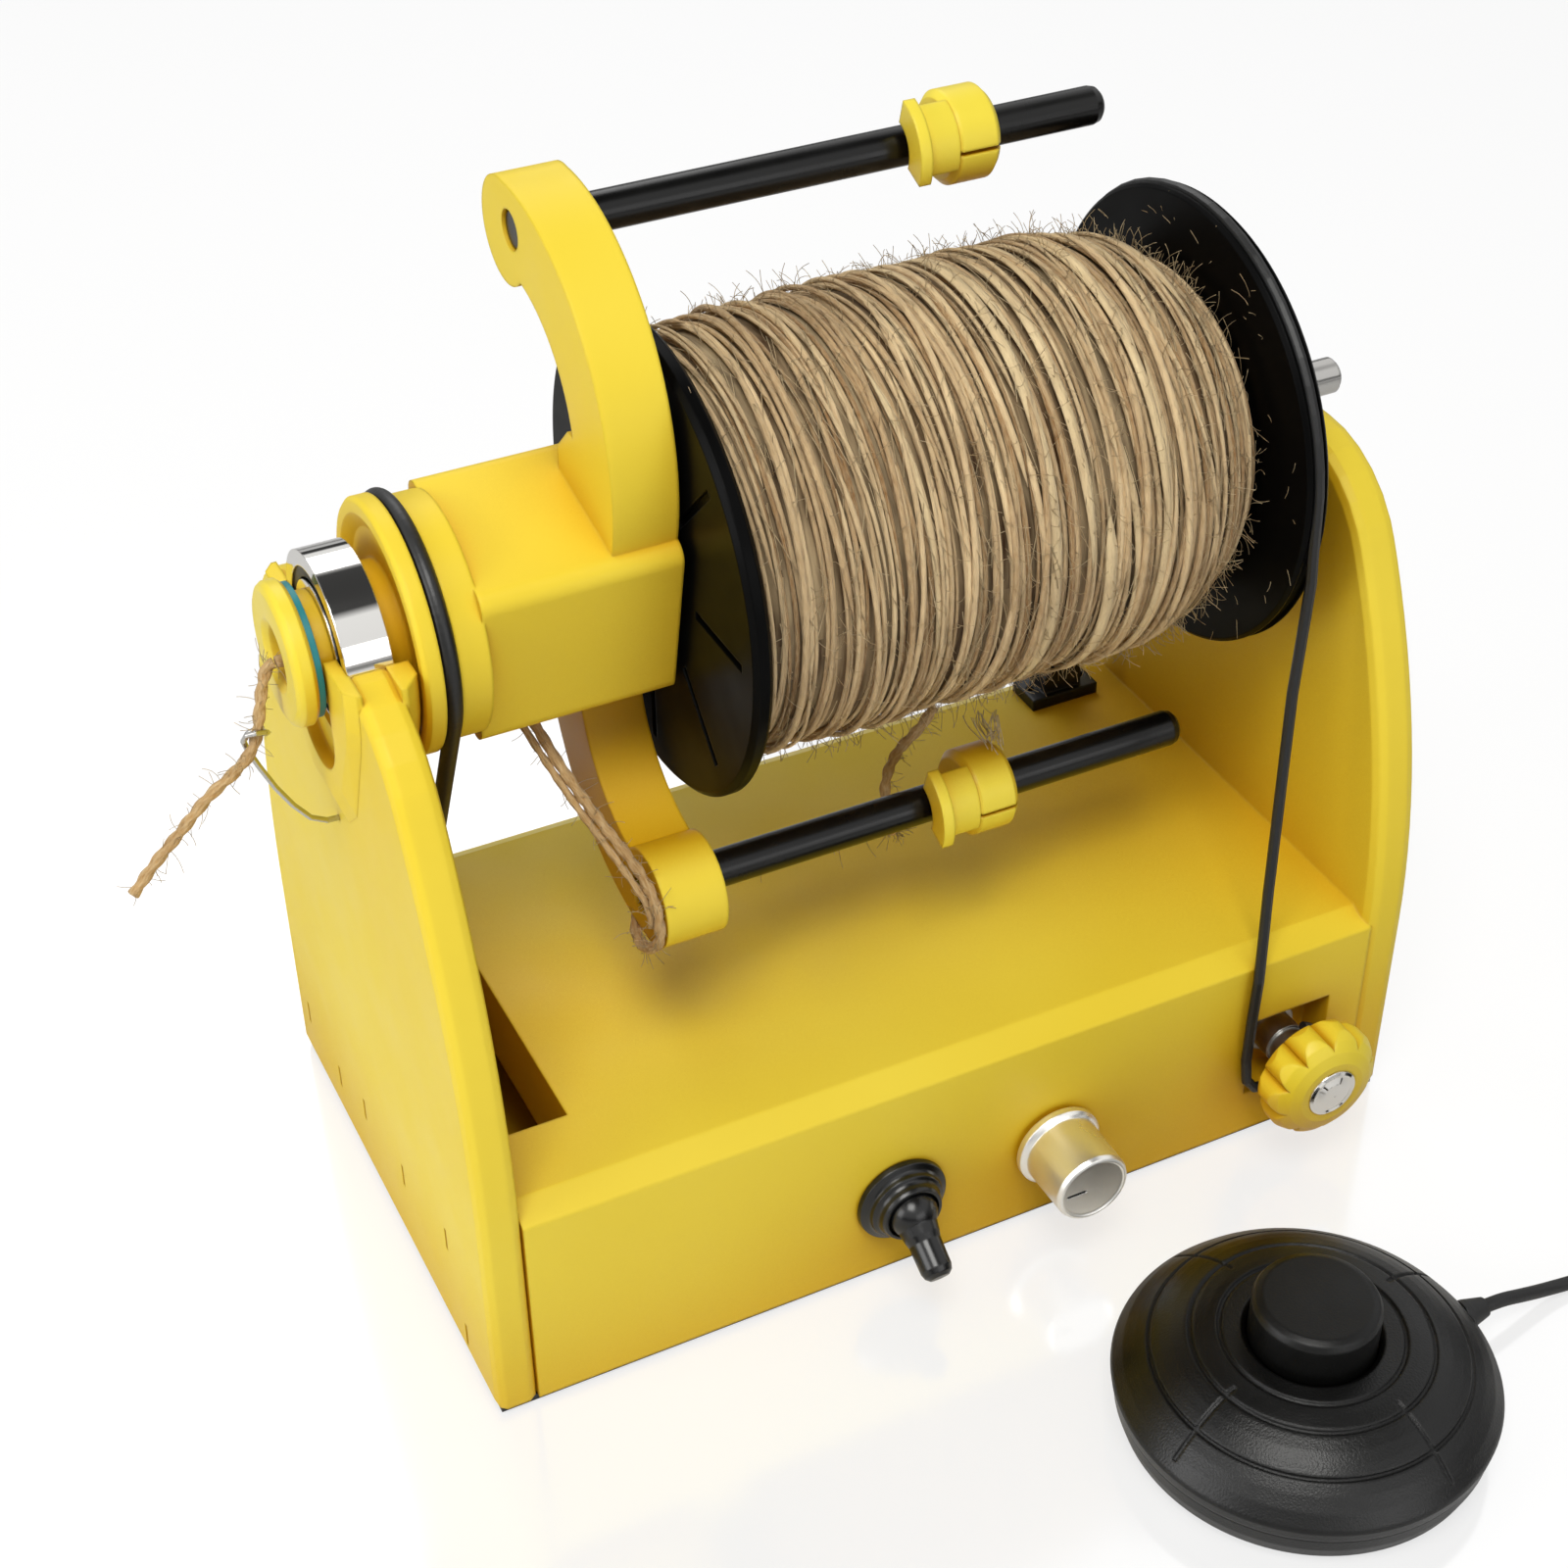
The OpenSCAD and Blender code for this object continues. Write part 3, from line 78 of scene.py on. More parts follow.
class Graph:
    """A material and short ways to add and join its nodes."""

    def __init__(self, name):
        self.mat = bpy.data.materials.new(name)
        self.mat.use_nodes = True
        self.tree = self.mat.node_tree
        self.bsdf = self.tree.nodes["Principled BSDF"]

    def add(self, kind, **values):
        node = self.tree.nodes.new(kind)
        for key, value in values.items():
            socket = key.replace("_", " ").capitalize() if key.islower() else key
            if hasattr(node, key):
                setattr(node, key, value)
            else:
                node.inputs[socket].default_value = value
        return node

    def join(self, out, into):
        self.tree.links.new(out, into)

    def where(self, coord):
        """A texture coordinate, from one node for the whole material."""
        node = self.tree.nodes.get("where") or self.add("ShaderNodeTexCoord")
        node.name = "where"
        return node.outputs[coord]

    def noise(self, scale, detail=3.0, coord="Object", stretch=None):
        tex = self.add("ShaderNodeTexNoise", scale=scale, detail=detail)
        source = self.where(coord)
        if stretch:
            mapping = self.add("ShaderNodeMapping", scale=stretch)
            self.join(source, mapping.inputs["Vector"])
            source = mapping.outputs["Vector"]
        self.join(source, tex.inputs["Vector"])
        return tex.outputs["Fac"]

    def spread(self, fac, low, high, start=0.3, end=0.7):
        """Maps start to end, as it stands the middle of a noise, onto a range of numbers."""
        node = self.add("ShaderNodeMapRange")
        for key, value in (("From Min", start), ("From Max", end), ("To Min", low), ("To Max", high)):
            node.inputs[key].default_value = value
        self.join(fac, node.inputs["Value"])
        return node.outputs["Result"]

    def mix(self, fac, a, b):
        node = self.add("ShaderNodeMix", data_type="RGBA")
        for value, key in ((fac, 0), (a, 6), (b, 7)):
            if hasattr(value, "node"):
                self.join(value, node.inputs[key])
            else:
                node.inputs[key].default_value = value
        return node.outputs[2]

    def calc(self, operation, *values):
        node = self.add("ShaderNodeMath", operation=operation)
        for socket, value in zip(node.inputs, values):
            if hasattr(value, "node"):
                self.join(value, socket)
            else:
                socket.default_value = value
        return node.outputs[0]

    def bump(self, height, strength, distance, normal=None):
        node = self.add("ShaderNodeBump", strength=strength, distance=distance)
        self.join(height, node.inputs["Height"])
        if normal:
            self.join(normal, node.inputs["Normal"])
        return node.outputs["Normal"]

    def rounded(self, radius):
        """A normal that rounds the CAD's sharp edges."""
        node = self.add("ShaderNodeBevel", samples=6, radius=radius)
        return node.outputs["Normal"]


def plastic(name, colour, shade, rough, edge, grain=0.0, grain_size=900.0, specular=0.5, painted_shade=None):
    """Moulded plastic: cloudy colour, uneven gloss, soft edges and a fine skin.
    The last colour, if given, is painted shade: an ambient-occlusion mask mixes it in where other surfaces
    close in, whatever the view."""
    g = Graph(name)
    body = g.mix(g.spread(g.noise(9, 2), 0, 1), colour, shade)
    if painted_shade:
        # painted shade: an ambient-occlusion mask mixes a darker mustard into the colour where other surfaces
        # close in
        openness = g.add("ShaderNodeAmbientOcclusion", samples=8, distance=80 * MM).outputs["AO"]
        body = g.mix(g.spread(openness, 1, 0, start=0.3, end=0.78), body, painted_shade)
    g.join(body, g.bsdf.inputs["Base Color"])
    g.join(g.spread(g.noise(60), rough - 0.05, rough + 0.07), g.bsdf.inputs["Roughness"])
    g.bsdf.inputs["Specular IOR Level"].default_value = specular
    normal = g.rounded(edge)
    normal = g.bump(g.noise(28, 2), 0.16, 0.0006, normal)
    if grain:
        normal = g.bump(g.noise(grain_size, 2), grain, 0.0002, normal)
    g.join(normal, g.bsdf.inputs["Normal"])
    return g.mat


def metal(name, colour, rough, edge, brushed=None, metallic=1.0):
    """Metal with fine brushing along one axis and slight smudges."""
    g = Graph(name)
    g.bsdf.inputs["Base Color"].default_value = colour
    g.bsdf.inputs["Metallic"].default_value = metallic
    g.join(g.spread(g.noise(45), rough * 0.75, rough * 1.3), g.bsdf.inputs["Roughness"])
    normal = g.rounded(edge)
    if brushed:
        normal = g.bump(g.noise(1, 4, stretch=brushed), 0.15, 0.0001, normal)
    g.join(normal, g.bsdf.inputs["Normal"])
    return g.mat


# darker mustard painted into the yellow parts where other parts close them in: painted shade
YELLOW_PAINTED_SHADE = srgb(208, 158, 14)
YELLOW = plastic(
    "yellow_moulding", srgb(244, 219, 72), srgb(238, 208, 54), 0.44, 1.1 * MM, specular=0.22, painted_shade=YELLOW_PAINTED_SHADE
)
YELLOW_WAX = plastic(
    "yellow_small", srgb(246, 226, 78), srgb(238, 212, 54), 0.36, 0.9 * MM, specular=0.35, painted_shade=YELLOW_PAINTED_SHADE
)
GLOSS_BLACK = plastic("black_gloss", srgb(4, 4, 4), srgb(8, 8, 8), 0.34, 0.5 * MM, specular=0.05)
ROD_BLACK = plastic("black_rod", srgb(5, 5, 5), srgb(11, 10, 8), 0.24, 0.5 * MM, specular=0.35)
FINE_GRAIN = 2200.0
PEDAL_BLACK = plastic(
    "black_grained", srgb(3, 3, 3), srgb(6, 6, 5), 0.34, 0.8 * MM,
    grain=0.34, grain_size=FINE_GRAIN, specular=0.4,
)
BUTTON_BLACK = plastic(
    "black_satin", srgb(4, 4, 4), srgb(8, 8, 7), 0.34, 0.9 * MM,
    grain=0.12, grain_size=FINE_GRAIN, specular=0.32,
)
RUBBER = plastic("black_rubber", srgb(9, 9, 9), srgb(15, 15, 15), 0.42, 0.3 * MM, grain=0.2)
BOOT = plastic("black_boot", srgb(9, 9, 9), srgb(14, 14, 14), 0.22, 0.5 * MM)
TEAL = plastic("teal_seal", srgb(20, 140, 146), srgb(12, 118, 126), 0.4, 0.3 * MM)
DARK_PART = plastic("dark_part", srgb(70, 70, 74), srgb(84, 84, 86), 0.5, 0.3 * MM)
BOARD = plastic("circuit_board", srgb(26, 92, 54), srgb(20, 76, 44), 0.4, 0.2 * MM)
CHROME = metal("chrome", srgb(226, 224, 220), 0.05, 0.35 * MM)
STEEL = metal("steel", srgb(190, 188, 184), 0.22, 0.4 * MM, brushed=(60, 900, 900))
KNOB_METAL = metal("knob_metal", srgb(244, 242, 236), 0.3, 0.4 * MM, brushed=(900, 40, 900), metallic=0.92)
ZINC = metal("zinc", srgb(176, 176, 172), 0.34, 0.3 * MM)

LOOK = {
    YELLOW: "base_housing left_upright bottom_plate flyer",
    YELLOW_WAX: "orifice_nose upper_hook lower_hook tension_knob",
    GLOSS_BLACK: "bobbin_core front_flange rear_flange",
    ROD_BLACK: "guide_rods",
    PEDAL_BLACK: "pedal_base pedal_shell",
    BUTTON_BLACK: "pedal_button knob_pointer pedal_plug power_jack pedal_socket brake_anchor motor_pulley",
    RUBBER: "base_pad drive_belt brake_cord pedal_gland pedal_cord pedal_coil bearing_seals",
    BOOT: "toggle_boot toggle_lever",
    TEAL: "orifice_washer",
    DARK_PART: "toggle_body potentiometer pedal_switch",
    BOARD: "control_board",
    CHROME: "outer_race inner_race tension_cap",
    STEEL: "flyer_shaft yarn_guide motor_shaft",
    KNOB_METAL: "speed_knob speed_shaft",
    ZINC: "frame_screws bearing_balls motor motor_bracket brake_spring tension_bush tension_spindle"
    " panel_nuts pedal_screws pedal_spring",
}
for material, names in LOOK.items():
    for name in names.split():
        for held in nodes[name].material_slots:
            held.material = material


def yarn_material(name, dark, light, twist):
    """Jute: a tone for each strand, fibres along it and the slanting marks of its plies.
    The UV map runs along the strand in millimetres and once around it."""
    g = Graph(name)
    tone = g.add("ShaderNodeAttribute", attribute_name="tone")
    fibre = g.noise(1, 4, coord="UV", stretch=(0.5, 13, 1))
    blotch = g.noise(1, 2, coord="UV", stretch=(0.08, 0.5, 1))
    body = g.mix(tone.outputs["Fac"], dark, light)
    body = g.mix(g.spread(fibre, 0.0, 0.62), body, srgb(238, 214, 168))
    body = g.mix(g.spread(blotch, 0.0, 0.4), body, srgb(122, 80, 36))
    g.join(body, g.bsdf.inputs["Base Color"])
    g.bsdf.inputs["Roughness"].default_value = 0.82
    g.bsdf.inputs["Specular IOR Level"].default_value = 0.25
    g.bsdf.inputs["Sheen Weight"].default_value = 0.1
    g.bsdf.inputs["Sheen Roughness"].default_value = 0.5
    normal = g.bump(fibre, 1.0, 0.0005)
    if twist:
        split = g.add("ShaderNodeSeparateXYZ")
        g.join(g.where("UV"), split.inputs["Vector"])
        along = g.calc("MULTIPLY", split.outputs["X"], twist)
        slant = g.calc("ADD", along, split.outputs["Y"])
        plies = 2
        wave = g.calc("SINE", g.calc("MULTIPLY", slant, plies * 2 * math.pi))
        normal = g.bump(wave, 0.25, 0.0002, normal)
    g.join(normal, g.bsdf.inputs["Normal"])
    return g.mat


JUTE = yarn_material("jute_wound", srgb(150, 104, 52), srgb(255, 226, 176), 0.12)
JUTE_PLY = yarn_material("jute_ply", srgb(150, 106, 54), srgb(212, 172, 112), 0.0)
JUTE_FUZZ = yarn_material("jute_fuzz", srgb(196, 156, 98), srgb(244, 220, 172), 0.0)
# near-black, not the jute's own colour: painted shade for the gaps between the wound strands
JUTE_BED_PAINTED_SHADE = yarn_material("jute_bed_painted_shade", srgb(36, 21, 9), srgb(50, 31, 14), 0.0)


# ---------- strands ----------


def strands_mesh(name, paths, radii, tones, sides, material, flat=1.0, lobes=0.0, pitch=9 * MM):
    """One mesh of many tubes. A path is an array of points; radii is one number or one per point.
    flat widens each tube sideways, for loose ribbons of fibre. lobes gives it the waist of two plies
    that twist once in a pitch."""
    co, quads, caps, quad_uv, cap_uv, tone_of = [], [], [], [], [], []
    start = 0
    k = np.arange(sides)
    theta = 2 * np.pi * k / sides
    for path, radius, tone in zip(paths, radii, tones):
        p = np.asarray(path, float)
        n = len(p)
        step = np.gradient(p, axis=0)
        step /= np.linalg.norm(step, axis=1)[:, None] + 1e-12
        side = np.cross(step[0], (1, 0, 0) if abs(step[0][0]) < 0.9 else (0, 0, 1))
        sides_of = np.empty_like(p)
        for i in range(n):
            side = side - step[i] * side.dot(step[i])
            side /= math.sqrt(side.dot(side))
            sides_of[i] = side
        other = np.cross(step, sides_of)
        long = np.concatenate([[0], np.cumsum(np.linalg.norm(np.diff(p, axis=0), axis=1))])
        r = np.broadcast_to(np.asarray(radius, float), n)[:, None]
        if lobes:
            turn = 2 * np.pi * long / pitch
            r = r * (1 + lobes * (np.abs(np.cos(theta[None, :] - turn[:, None])) - 0.64))
        ring = r * np.cos(theta), flat * r * np.sin(theta)
        places = p[:, None] + ring[0][..., None] * sides_of[:, None] + ring[1][..., None] * other[:, None]
        co.append(places.reshape(-1, 3))
        m = (k + 1) % sides
        a = (start + np.arange(n - 1) * sides)[:, None]
        quads.append(np.stack([a + k, a + m, a + sides + m, a + sides + k], -1).reshape(-1, 4))
        u = (long / MM)[:, None] + 0 * k
        v0, v1 = np.broadcast_to(k / sides, (n - 1, sides)), np.broadcast_to((k + 1) / sides, (n - 1, sides))
        corners = [np.stack(c, -1) for c in ((u[:-1], v0), (u[:-1], v1), (u[1:], v1), (u[1:], v0))]
        quad_uv.append(np.stack(corners, 2).reshape(-1, 2))
        for first, order in ((start, -1), (start + (n - 1) * sides, 1)):
            caps.append((first + k)[::order].tolist())
            cap_uv.append(np.tile((long[-1 if order > 0 else 0] / MM, 0.5), (sides, 1)))
        tone_of.append(np.full(n * sides, tone))
        start += n * sides
    mesh = bpy.data.meshes.new(name)
    mesh.from_pydata(np.concatenate(co).tolist(), [], np.concatenate(quads).tolist() + caps)
    uv = np.concatenate(quad_uv + cap_uv).astype(np.float32)
    mesh.uv_layers.new(name="UVMap").data.foreach_set("uv", uv.ravel())
    tone_values = np.concatenate(tone_of).astype(np.float32)
    mesh.attributes.new("tone", "FLOAT", "POINT").data.foreach_set("value", tone_values)
    mesh.shade_smooth()
    mesh.materials.append(material)
    obj = bpy.data.objects.new(name, mesh)
    bpy.context.scene.collection.objects.link(obj)
    return obj


def smooth_path(points, per_span=8):
    """A Catmull-Rom curve through given points."""
    p = np.array(points, float)
    p = np.vstack([2 * p[0] - p[1], p, 2 * p[-1] - p[-2]])
    out = []
    for i in range(1, len(p) - 2):
        for k in range(per_span):
            t = k / per_span
            a, b, c, d = p[i - 1], p[i], p[i + 1], p[i + 2]
            square, cube = (2 * a - 5 * b + 4 * c - d) * t**2, (3 * b - a - 3 * c + d) * t**3
            out.append(0.5 * (2 * b + (c - a) * t + square + cube))
    out.append(p[-2])
    return np.array(out)


def path_mm(points, per_span=8):
    """A smooth curve through points written in millimetres."""
    return smooth_path([[v * MM for v in p] for p in points], per_span)


def hair(root, outward, along, length, curl):
    """A stray fibre that leaves a surface and curls over."""
    count = 6
    points = []
    bend = Vector((rng.uniform(-1, 1), rng.uniform(-1, 1), rng.uniform(-1, 1))) * curl
    direction = (Vector(outward) * rng.uniform(0.3, 1.0) + Vector(along) * rng.uniform(-1, 1)).normalized()
    at = Vector(root)
    for _ in range(count):
        points.append(tuple(at))
        at = at + direction * (length / (count - 1))
        direction = (direction + bend).normalized()
    return points


# ---------- wound yarn ----------

X0, X1 = PACK[0][0] + 0.4 * MM, PACK[1][0] - 0.4 * MM
WRAP_R = 0.84 * MM
PACK_R = 44.2 * MM
TURNS, CROSSINGS, RIBBONS, SINGLE_FIBRES, HAIRS, RIM_HAIRS = 92, 64, 26, 520, 3000, 90
FULL = 2 * math.pi


def profile(x):
    """Radius of the package's surface at a place along the spindle."""
    left = max(0.0, 1 - (x - X0) / (26 * MM))
    right = max(0.0, 1 - (X1 - x) / (34 * MM))
    return PACK_R - 3.2 * MM * left**2 - 11.5 * MM * right**2.6 - WRAP_R


def around(x, radius, angle):
    return (x, radius * math.cos(angle), AXIS_Z + radius * math.sin(angle))


def wobble(size):
    """A smooth closed wander around one turn."""
    parts = [(k, rng.uniform(0, FULL), rng.uniform(0.3, 1) * size / k) for k in (1, 2, 3, 5)]
    return lambda a: sum(w * math.sin(k * a + phase) for k, phase, w in parts)


def taper(segments, thin, shoulder):
    """Thickness along a strand that is thin at both ends."""
    return np.interp(np.linspace(0, 1, segments + 1), (0, shoulder, 1 - shoulder, 1), (thin, 1, 1, thin))


def wrap(x, lift, sweep, start, tilt, segments=84):
    """A strand laid round the package, closed where it goes all the way round."""
    shift, rise = wobble(0.55 * MM), wobble(0.35 * MM)
    out = []
    for i in range(segments + 1):
        a = start + sweep * i / segments
        at = min(X1 - WRAP_R, max(X0 + WRAP_R, x + shift(a) + tilt * math.sin(a - start)))
        out.append(around(at, profile(at) + lift + rise(a), a))
    return out


wraps, wrap_radii, wrap_tones = [], [], []
for i in range(TURNS):
    x = X0 + WRAP_R + (X1 - X0 - 2 * WRAP_R) * i / (TURNS - 1) + rng.uniform(-0.4, 0.4) * MM
    wraps.append(wrap(x, rng.uniform(-0.7, 0.4) * MM, FULL, 0, rng.uniform(-1.6, 1.6) * MM))
    wrap_radii.append(rng.uniform(0.4, 0.78) * WRAP_R)
    wrap_tones.append(rng.random())
# strands that cross over the others, from a tenth to most of a turn long
crossing_taper = taper(60, 0.15, 0.08)
for i in range(CROSSINGS):
    x = rng.uniform(X0 + 4 * MM, X1 - 7 * MM)
    sweep = rng.uniform(0.8, 4.6)
    lift, start, tilt = rng.uniform(0.5, 1.5) * MM, rng.uniform(0, FULL), rng.uniform(-5, 5) * MM
    wraps.append(wrap(x, lift, sweep, start, tilt, 60))
    wrap_radii.append(rng.uniform(0.4, 0.95) * WRAP_R * crossing_taper)
    wrap_tones.append(rng.uniform(0.3, 1))
wound = strands_mesh("wound_yarn", wraps, wrap_radii, wrap_tones, 8, JUTE)
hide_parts("yarn_package")

# a near-black cylinder under the strands: painted shade in the gaps between them
bed_rings, bed_depth = 30, 1.15 * MM
bed = [(X0 + (X1 - X0) * i / bed_rings) for i in range(bed_rings + 1)]
bed_line = [(x, 0, AXIS_Z) for x in bed]
shade_bed_mesh = strands_mesh("yarn_bed_painted_shade", [bed_line], [[profile(x) - bed_depth for x in bed]], [0.3], 96, JUTE_BED_PAINTED_SHADE)

# flat ribbons of loose fibre, mostly towards the tail end
ribbons, ribbon_radii, ribbon_tones = [], [], []
ribbon_taper = taper(48, 0.1, 0.15)
for i in range(RIBBONS):
    x = max(X0 + 6 * MM, X1 - 8 * MM - abs(rng.gauss(0, 30)) * MM)
    sweep, start, tilt = rng.uniform(1.0, 3.6), rng.uniform(0, FULL), rng.uniform(-4, 4) * MM
    ribbons.append(wrap(x, 0.9 * MM, sweep, start, tilt, 48))
    ribbon_radii.append(rng.uniform(0.25, 0.5) * MM * ribbon_taper)
    ribbon_tones.append(rng.uniform(0.7, 1))
# single fibres that lie over the strands at a slant
for i in range(SINGLE_FIBRES):
    x = rng.uniform(X0 + 4 * MM, X1 - 6 * MM)
    start = rng.uniform(0, FULL)
    lift, sweep, tilt = rng.uniform(0.7, 1.5) * MM, rng.uniform(0.12, 0.5), rng.uniform(-16, 16) * MM
    ribbons.append(wrap(x, lift, sweep, start, tilt, 8))
    ribbon_radii.append(0.035 * MM)
    ribbon_tones.append(rng.uniform(0.5, 1))
loose = strands_mesh("loose_ribbons", ribbons, ribbon_radii, ribbon_tones, 6, JUTE_FUZZ, flat=3.0)

hairs, hair_tones = [], []
for i in range(HAIRS):
    x = X0 + (X1 - X0) * (rng.random() ** 0.72)
    a = rng.uniform(0, FULL)
    root = around(x, profile(x) + 0.4 * MM, a)
    outward = (0, math.cos(a), math.sin(a))
    along = (rng.uniform(-0.6, 0.6), -math.sin(a), math.cos(a))
    hairs.append(hair(root, outward, along, rng.uniform(2.5, 7) * MM, 0.32))
    hair_tones.append(rng.random())
# fibres caught on the rims of the two flanges
for x in (X0 - 1 * MM, X1 + 1 * MM):
    for i in range(RIM_HAIRS):
        a = rng.uniform(0, FULL)
        root = around(x, rng.uniform(36, 42) * MM, a)
        outward, along = (0, math.cos(a), math.sin(a)), (0, -math.sin(a), math.cos(a))
        hairs.append(hair(root, outward, along, rng.uniform(5, 11) * MM, 0.2))
        hair_tones.append(rng.random())
fuzz = strands_mesh("yarn_fuzz", hairs, [0.075 * MM] * len(hairs), hair_tones, 3, JUTE_FUZZ)

for piece in (wound, shade_bed_mesh, loose, fuzz):
    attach(piece, "bobbin")


# ---------- free yarn ----------

YARN_R = 1.1 * MM
axis = AXIS_Z / MM  # the points of the free yarn are in millimetres


def yarn_piece(name, points, body, replaced, extra=(), lean=-1.0):
    """Two-ply yarn along given points in millimetres, with stray fibres as a piece of its own.
    lean is how far the fibres may point back to the left."""
    path = path_mm(points)
    lines = [path] + [path_mm(line) for line in extra]
    radii = [YARN_R] + [0.7 * YARN_R] * len(extra)
    obj = strands_mesh(name, lines, radii, [0.5, 0.8][: len(lines)], 12, JUTE_PLY, lobes=0.42)
    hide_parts(replaced)
    stray = []
    for line in lines:
        for root in line[1:-1]:
            outward = [rng.uniform(lean, 1), rng.uniform(-1, 1), rng.uniform(-1, 1)]
            stray.append(hair(root, outward, (0, 0, 1), rng.uniform(3, 6) * MM, 0.25))
    fibres = strands_mesh(name + "_fibres", stray, [0.07 * MM] * len(stray), [0.9] * len(stray), 3, JUTE_FUZZ)
    for piece in (obj, fibres):
        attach(piece, body)
    return obj, fibres, path


tail_points = [
    (-118.25, 0, axis - 1.3), (-119.2, 0, axis - 1.6), (-120.6, 0, axis - 4.2),
    (-121.8, -0.2, axis - 8.5), (-122.8, -0.6, axis - 12.5), (-123.8, -0.8, axis - 16),
    (-125.6, -1, axis - 19.4), (-129, -0.8, axis - 22.8), (-135, -0.4, axis - 27.4),
    (-141, 0, axis - 33.6), (-147, 0, axis - 39.4), (-152, 0, axis - 45),
]
tail, tail_fibres, tail_path = yarn_piece("yarn_tail_ply", tail_points, "frame", "yarn_tail")

# the arm's left face, the shaft's side hole, the guide rod, the lane beside it and the start of the rod run
arm_x0, exit_x = -56.7, -74.0
rod_y, rod_z = -23.3, axis - 63.2
lane_y, lane_z = rod_y + 6.6, rod_z - 9.42
seam = arm_x0 + 5.7
hub_points = [
    (-117.85, 0, axis - 1.3), (-112, 0, axis - 1.3), (-100.3, 0, axis - 1),
    (-90.2, 0, axis - 1), (exit_x - 6, 0, axis - 1.6), (exit_x - 2, 0.4, axis - 5),
    (exit_x, 1.8, axis - 10), (exit_x + 1, 3, axis - 16), (exit_x + 2.4, 1.6, axis - 22),
    (exit_x + 4.6, -4, axis - 28.6), (exit_x + 7.6, -12, axis - 37), (exit_x + 11.4, -20.6, axis - 45),
    (exit_x + 14.6, -28, axis - 51), (arm_x0 - 1.6, -33, axis - 54.4), (arm_x0 - 1.45, -36, axis - 57.6),
    (arm_x0 - 1.45, -37.2, axis - 61.8), (arm_x0 - 1.45, -35.8, axis - 66.6), (arm_x0 - 1.5, -31.4, axis - 71),
    (arm_x0 - 1.2, -26.2, axis - 73.8), (arm_x0 - 0.3, -21.4, axis - 74), (arm_x0 + 1.6, -18, lane_z - 0.5),
    (arm_x0 + 4.2, lane_y, lane_z), (seam - 0.05, lane_y, lane_z),
]
slack = [
    (exit_x - 1, 1, axis - 10), (exit_x - 0.6, 1.4, axis - 20), (exit_x + 3.2, -5.2, axis - 31),
    (exit_x + 7.6, -15.4, axis - 41.8), (exit_x + 12, -25.4, axis - 50.8),
    (arm_x0 - 2.7, -33.4, axis - 57), (arm_x0 - 2.4, -35.6, axis - 62),
]
yarn_piece("yarn_hub_ply", hub_points, "flyer", "yarn_hub_run", extra=[slack])

# along the rod, then a bend of bend_r outwards at the hook
pick_x, bend_r = HOOK[0][0] / MM - 2, 1.5
out = (0.5736, -0.8192)
rod_points = [(x, lane_y, lane_z) for x in (seam, -39.3, -20, -4, pick_x - bend_r)]
for a in (math.pi / 6, math.pi / 3, math.pi / 2):
    away = bend_r - bend_r * math.cos(a)
    x = pick_x - bend_r + bend_r * math.sin(a)
    rod_points.append((x, lane_y + away * out[0], lane_z + away * out[1]))
rod_points.append((pick_x, lane_y + 1.9 * out[0], lane_z + 1.9 * out[1]))
yarn_piece("yarn_rod_ply", rod_points, "flyer", "yarn_rod_run")


def around_rod(x, radius, angle):
    a = math.radians(angle)
    return (x, rod_y + radius * math.cos(a), rod_z + radius * math.sin(a))


def below_axis(x, radius, angle):
    return (x, -radius * math.sin(angle), axis - radius * math.cos(angle))


pick_points = [
    around_rod(pick_x, 13.45, 305), around_rod(pick_x, 14.1, 305), around_rod(pick_x, 14.6, 310),
    around_rod(pick_x, 14.4, 317), around_rod(pick_x + 0.2, 13.2, 330),
    around_rod(pick_x + 0.8, 12.8, 350), around_rod(pick_x + 2, 12.8, 372),
    around_rod(pick_x + 3.6, 13.4, 396), (pick_x + 6.2, -15.2, axis - 49.6),
    (pick_x + 8.2, -17.4, axis - 43.6),
]
yarn_piece("yarn_pick_ply", pick_points, "lower_hook", "yarn_pickup", lean=0.3)

# loose fibres on top of the lower hook's right end, which stop outside the path of the bobbin's flanges
# (radii in millimetres, the first from the rod and the others from the spindle)
TUFT_FIBRES, hook_r, knee_r, clear_r = 22, 12.4, 53.6, 50.8
tuft = []
for i in range(TUFT_FIBRES):
    x = HOOK[1][0] / MM - 2 + rng.uniform(-3, 1)
    drift, end = rng.uniform(-2, 3), math.radians(rng.uniform(20, 30))
    root = around_rod(x, hook_r, rng.uniform(85, 115))
    knee, tip = below_axis(x + 0.4 * drift, knee_r, end), below_axis(x + drift, clear_r, end)
    tuft.append(path_mm([root, knee, tip]))
tuft_mesh = strands_mesh("pick_tuft", tuft, [0.11 * MM] * len(tuft), [0.8] * len(tuft), 5, JUTE_FUZZ)
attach(tuft_mesh, "lower_hook")


# ---------- spring of the pedal ----------

SPRING_TURNS, PER_TURN = 6, 24
SPRING_R, WIRE_R, END_GAP = 5 * MM, 0.45 * MM, 0.5 * MM
spring_mid = [(SPRING[0][k] + SPRING[1][k]) / 2 for k in range(2)]
spring_low, spring_high = SPRING[0][2] + END_GAP, SPRING[1][2] - END_GAP
coils = []
for i in range(SPRING_TURNS * PER_TURN + 1):
    a = FULL * i / PER_TURN
    z = spring_low + (spring_high - spring_low) * i / (SPRING_TURNS * PER_TURN)
    coils.append((spring_mid[0] + SPRING_R * math.cos(a), spring_mid[1] + SPRING_R * math.sin(a), z))
spring = strands_mesh("spring_wire", [coils], [WIRE_R], [0.5], 8, ZINC)
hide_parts("pedal_spring")
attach(spring, "frame")
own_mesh(spring)


# ---------- pedal cord ----------

CORD_D = 3.0 * MM
coil_c = ((COIL[0][0] + COIL[1][0]) / 2, (COIL[0][1] + COIL[1][1]) / 2)
coil_mid = 5.5 * CORD_D
COLUMNS, ROWS = 3, 5

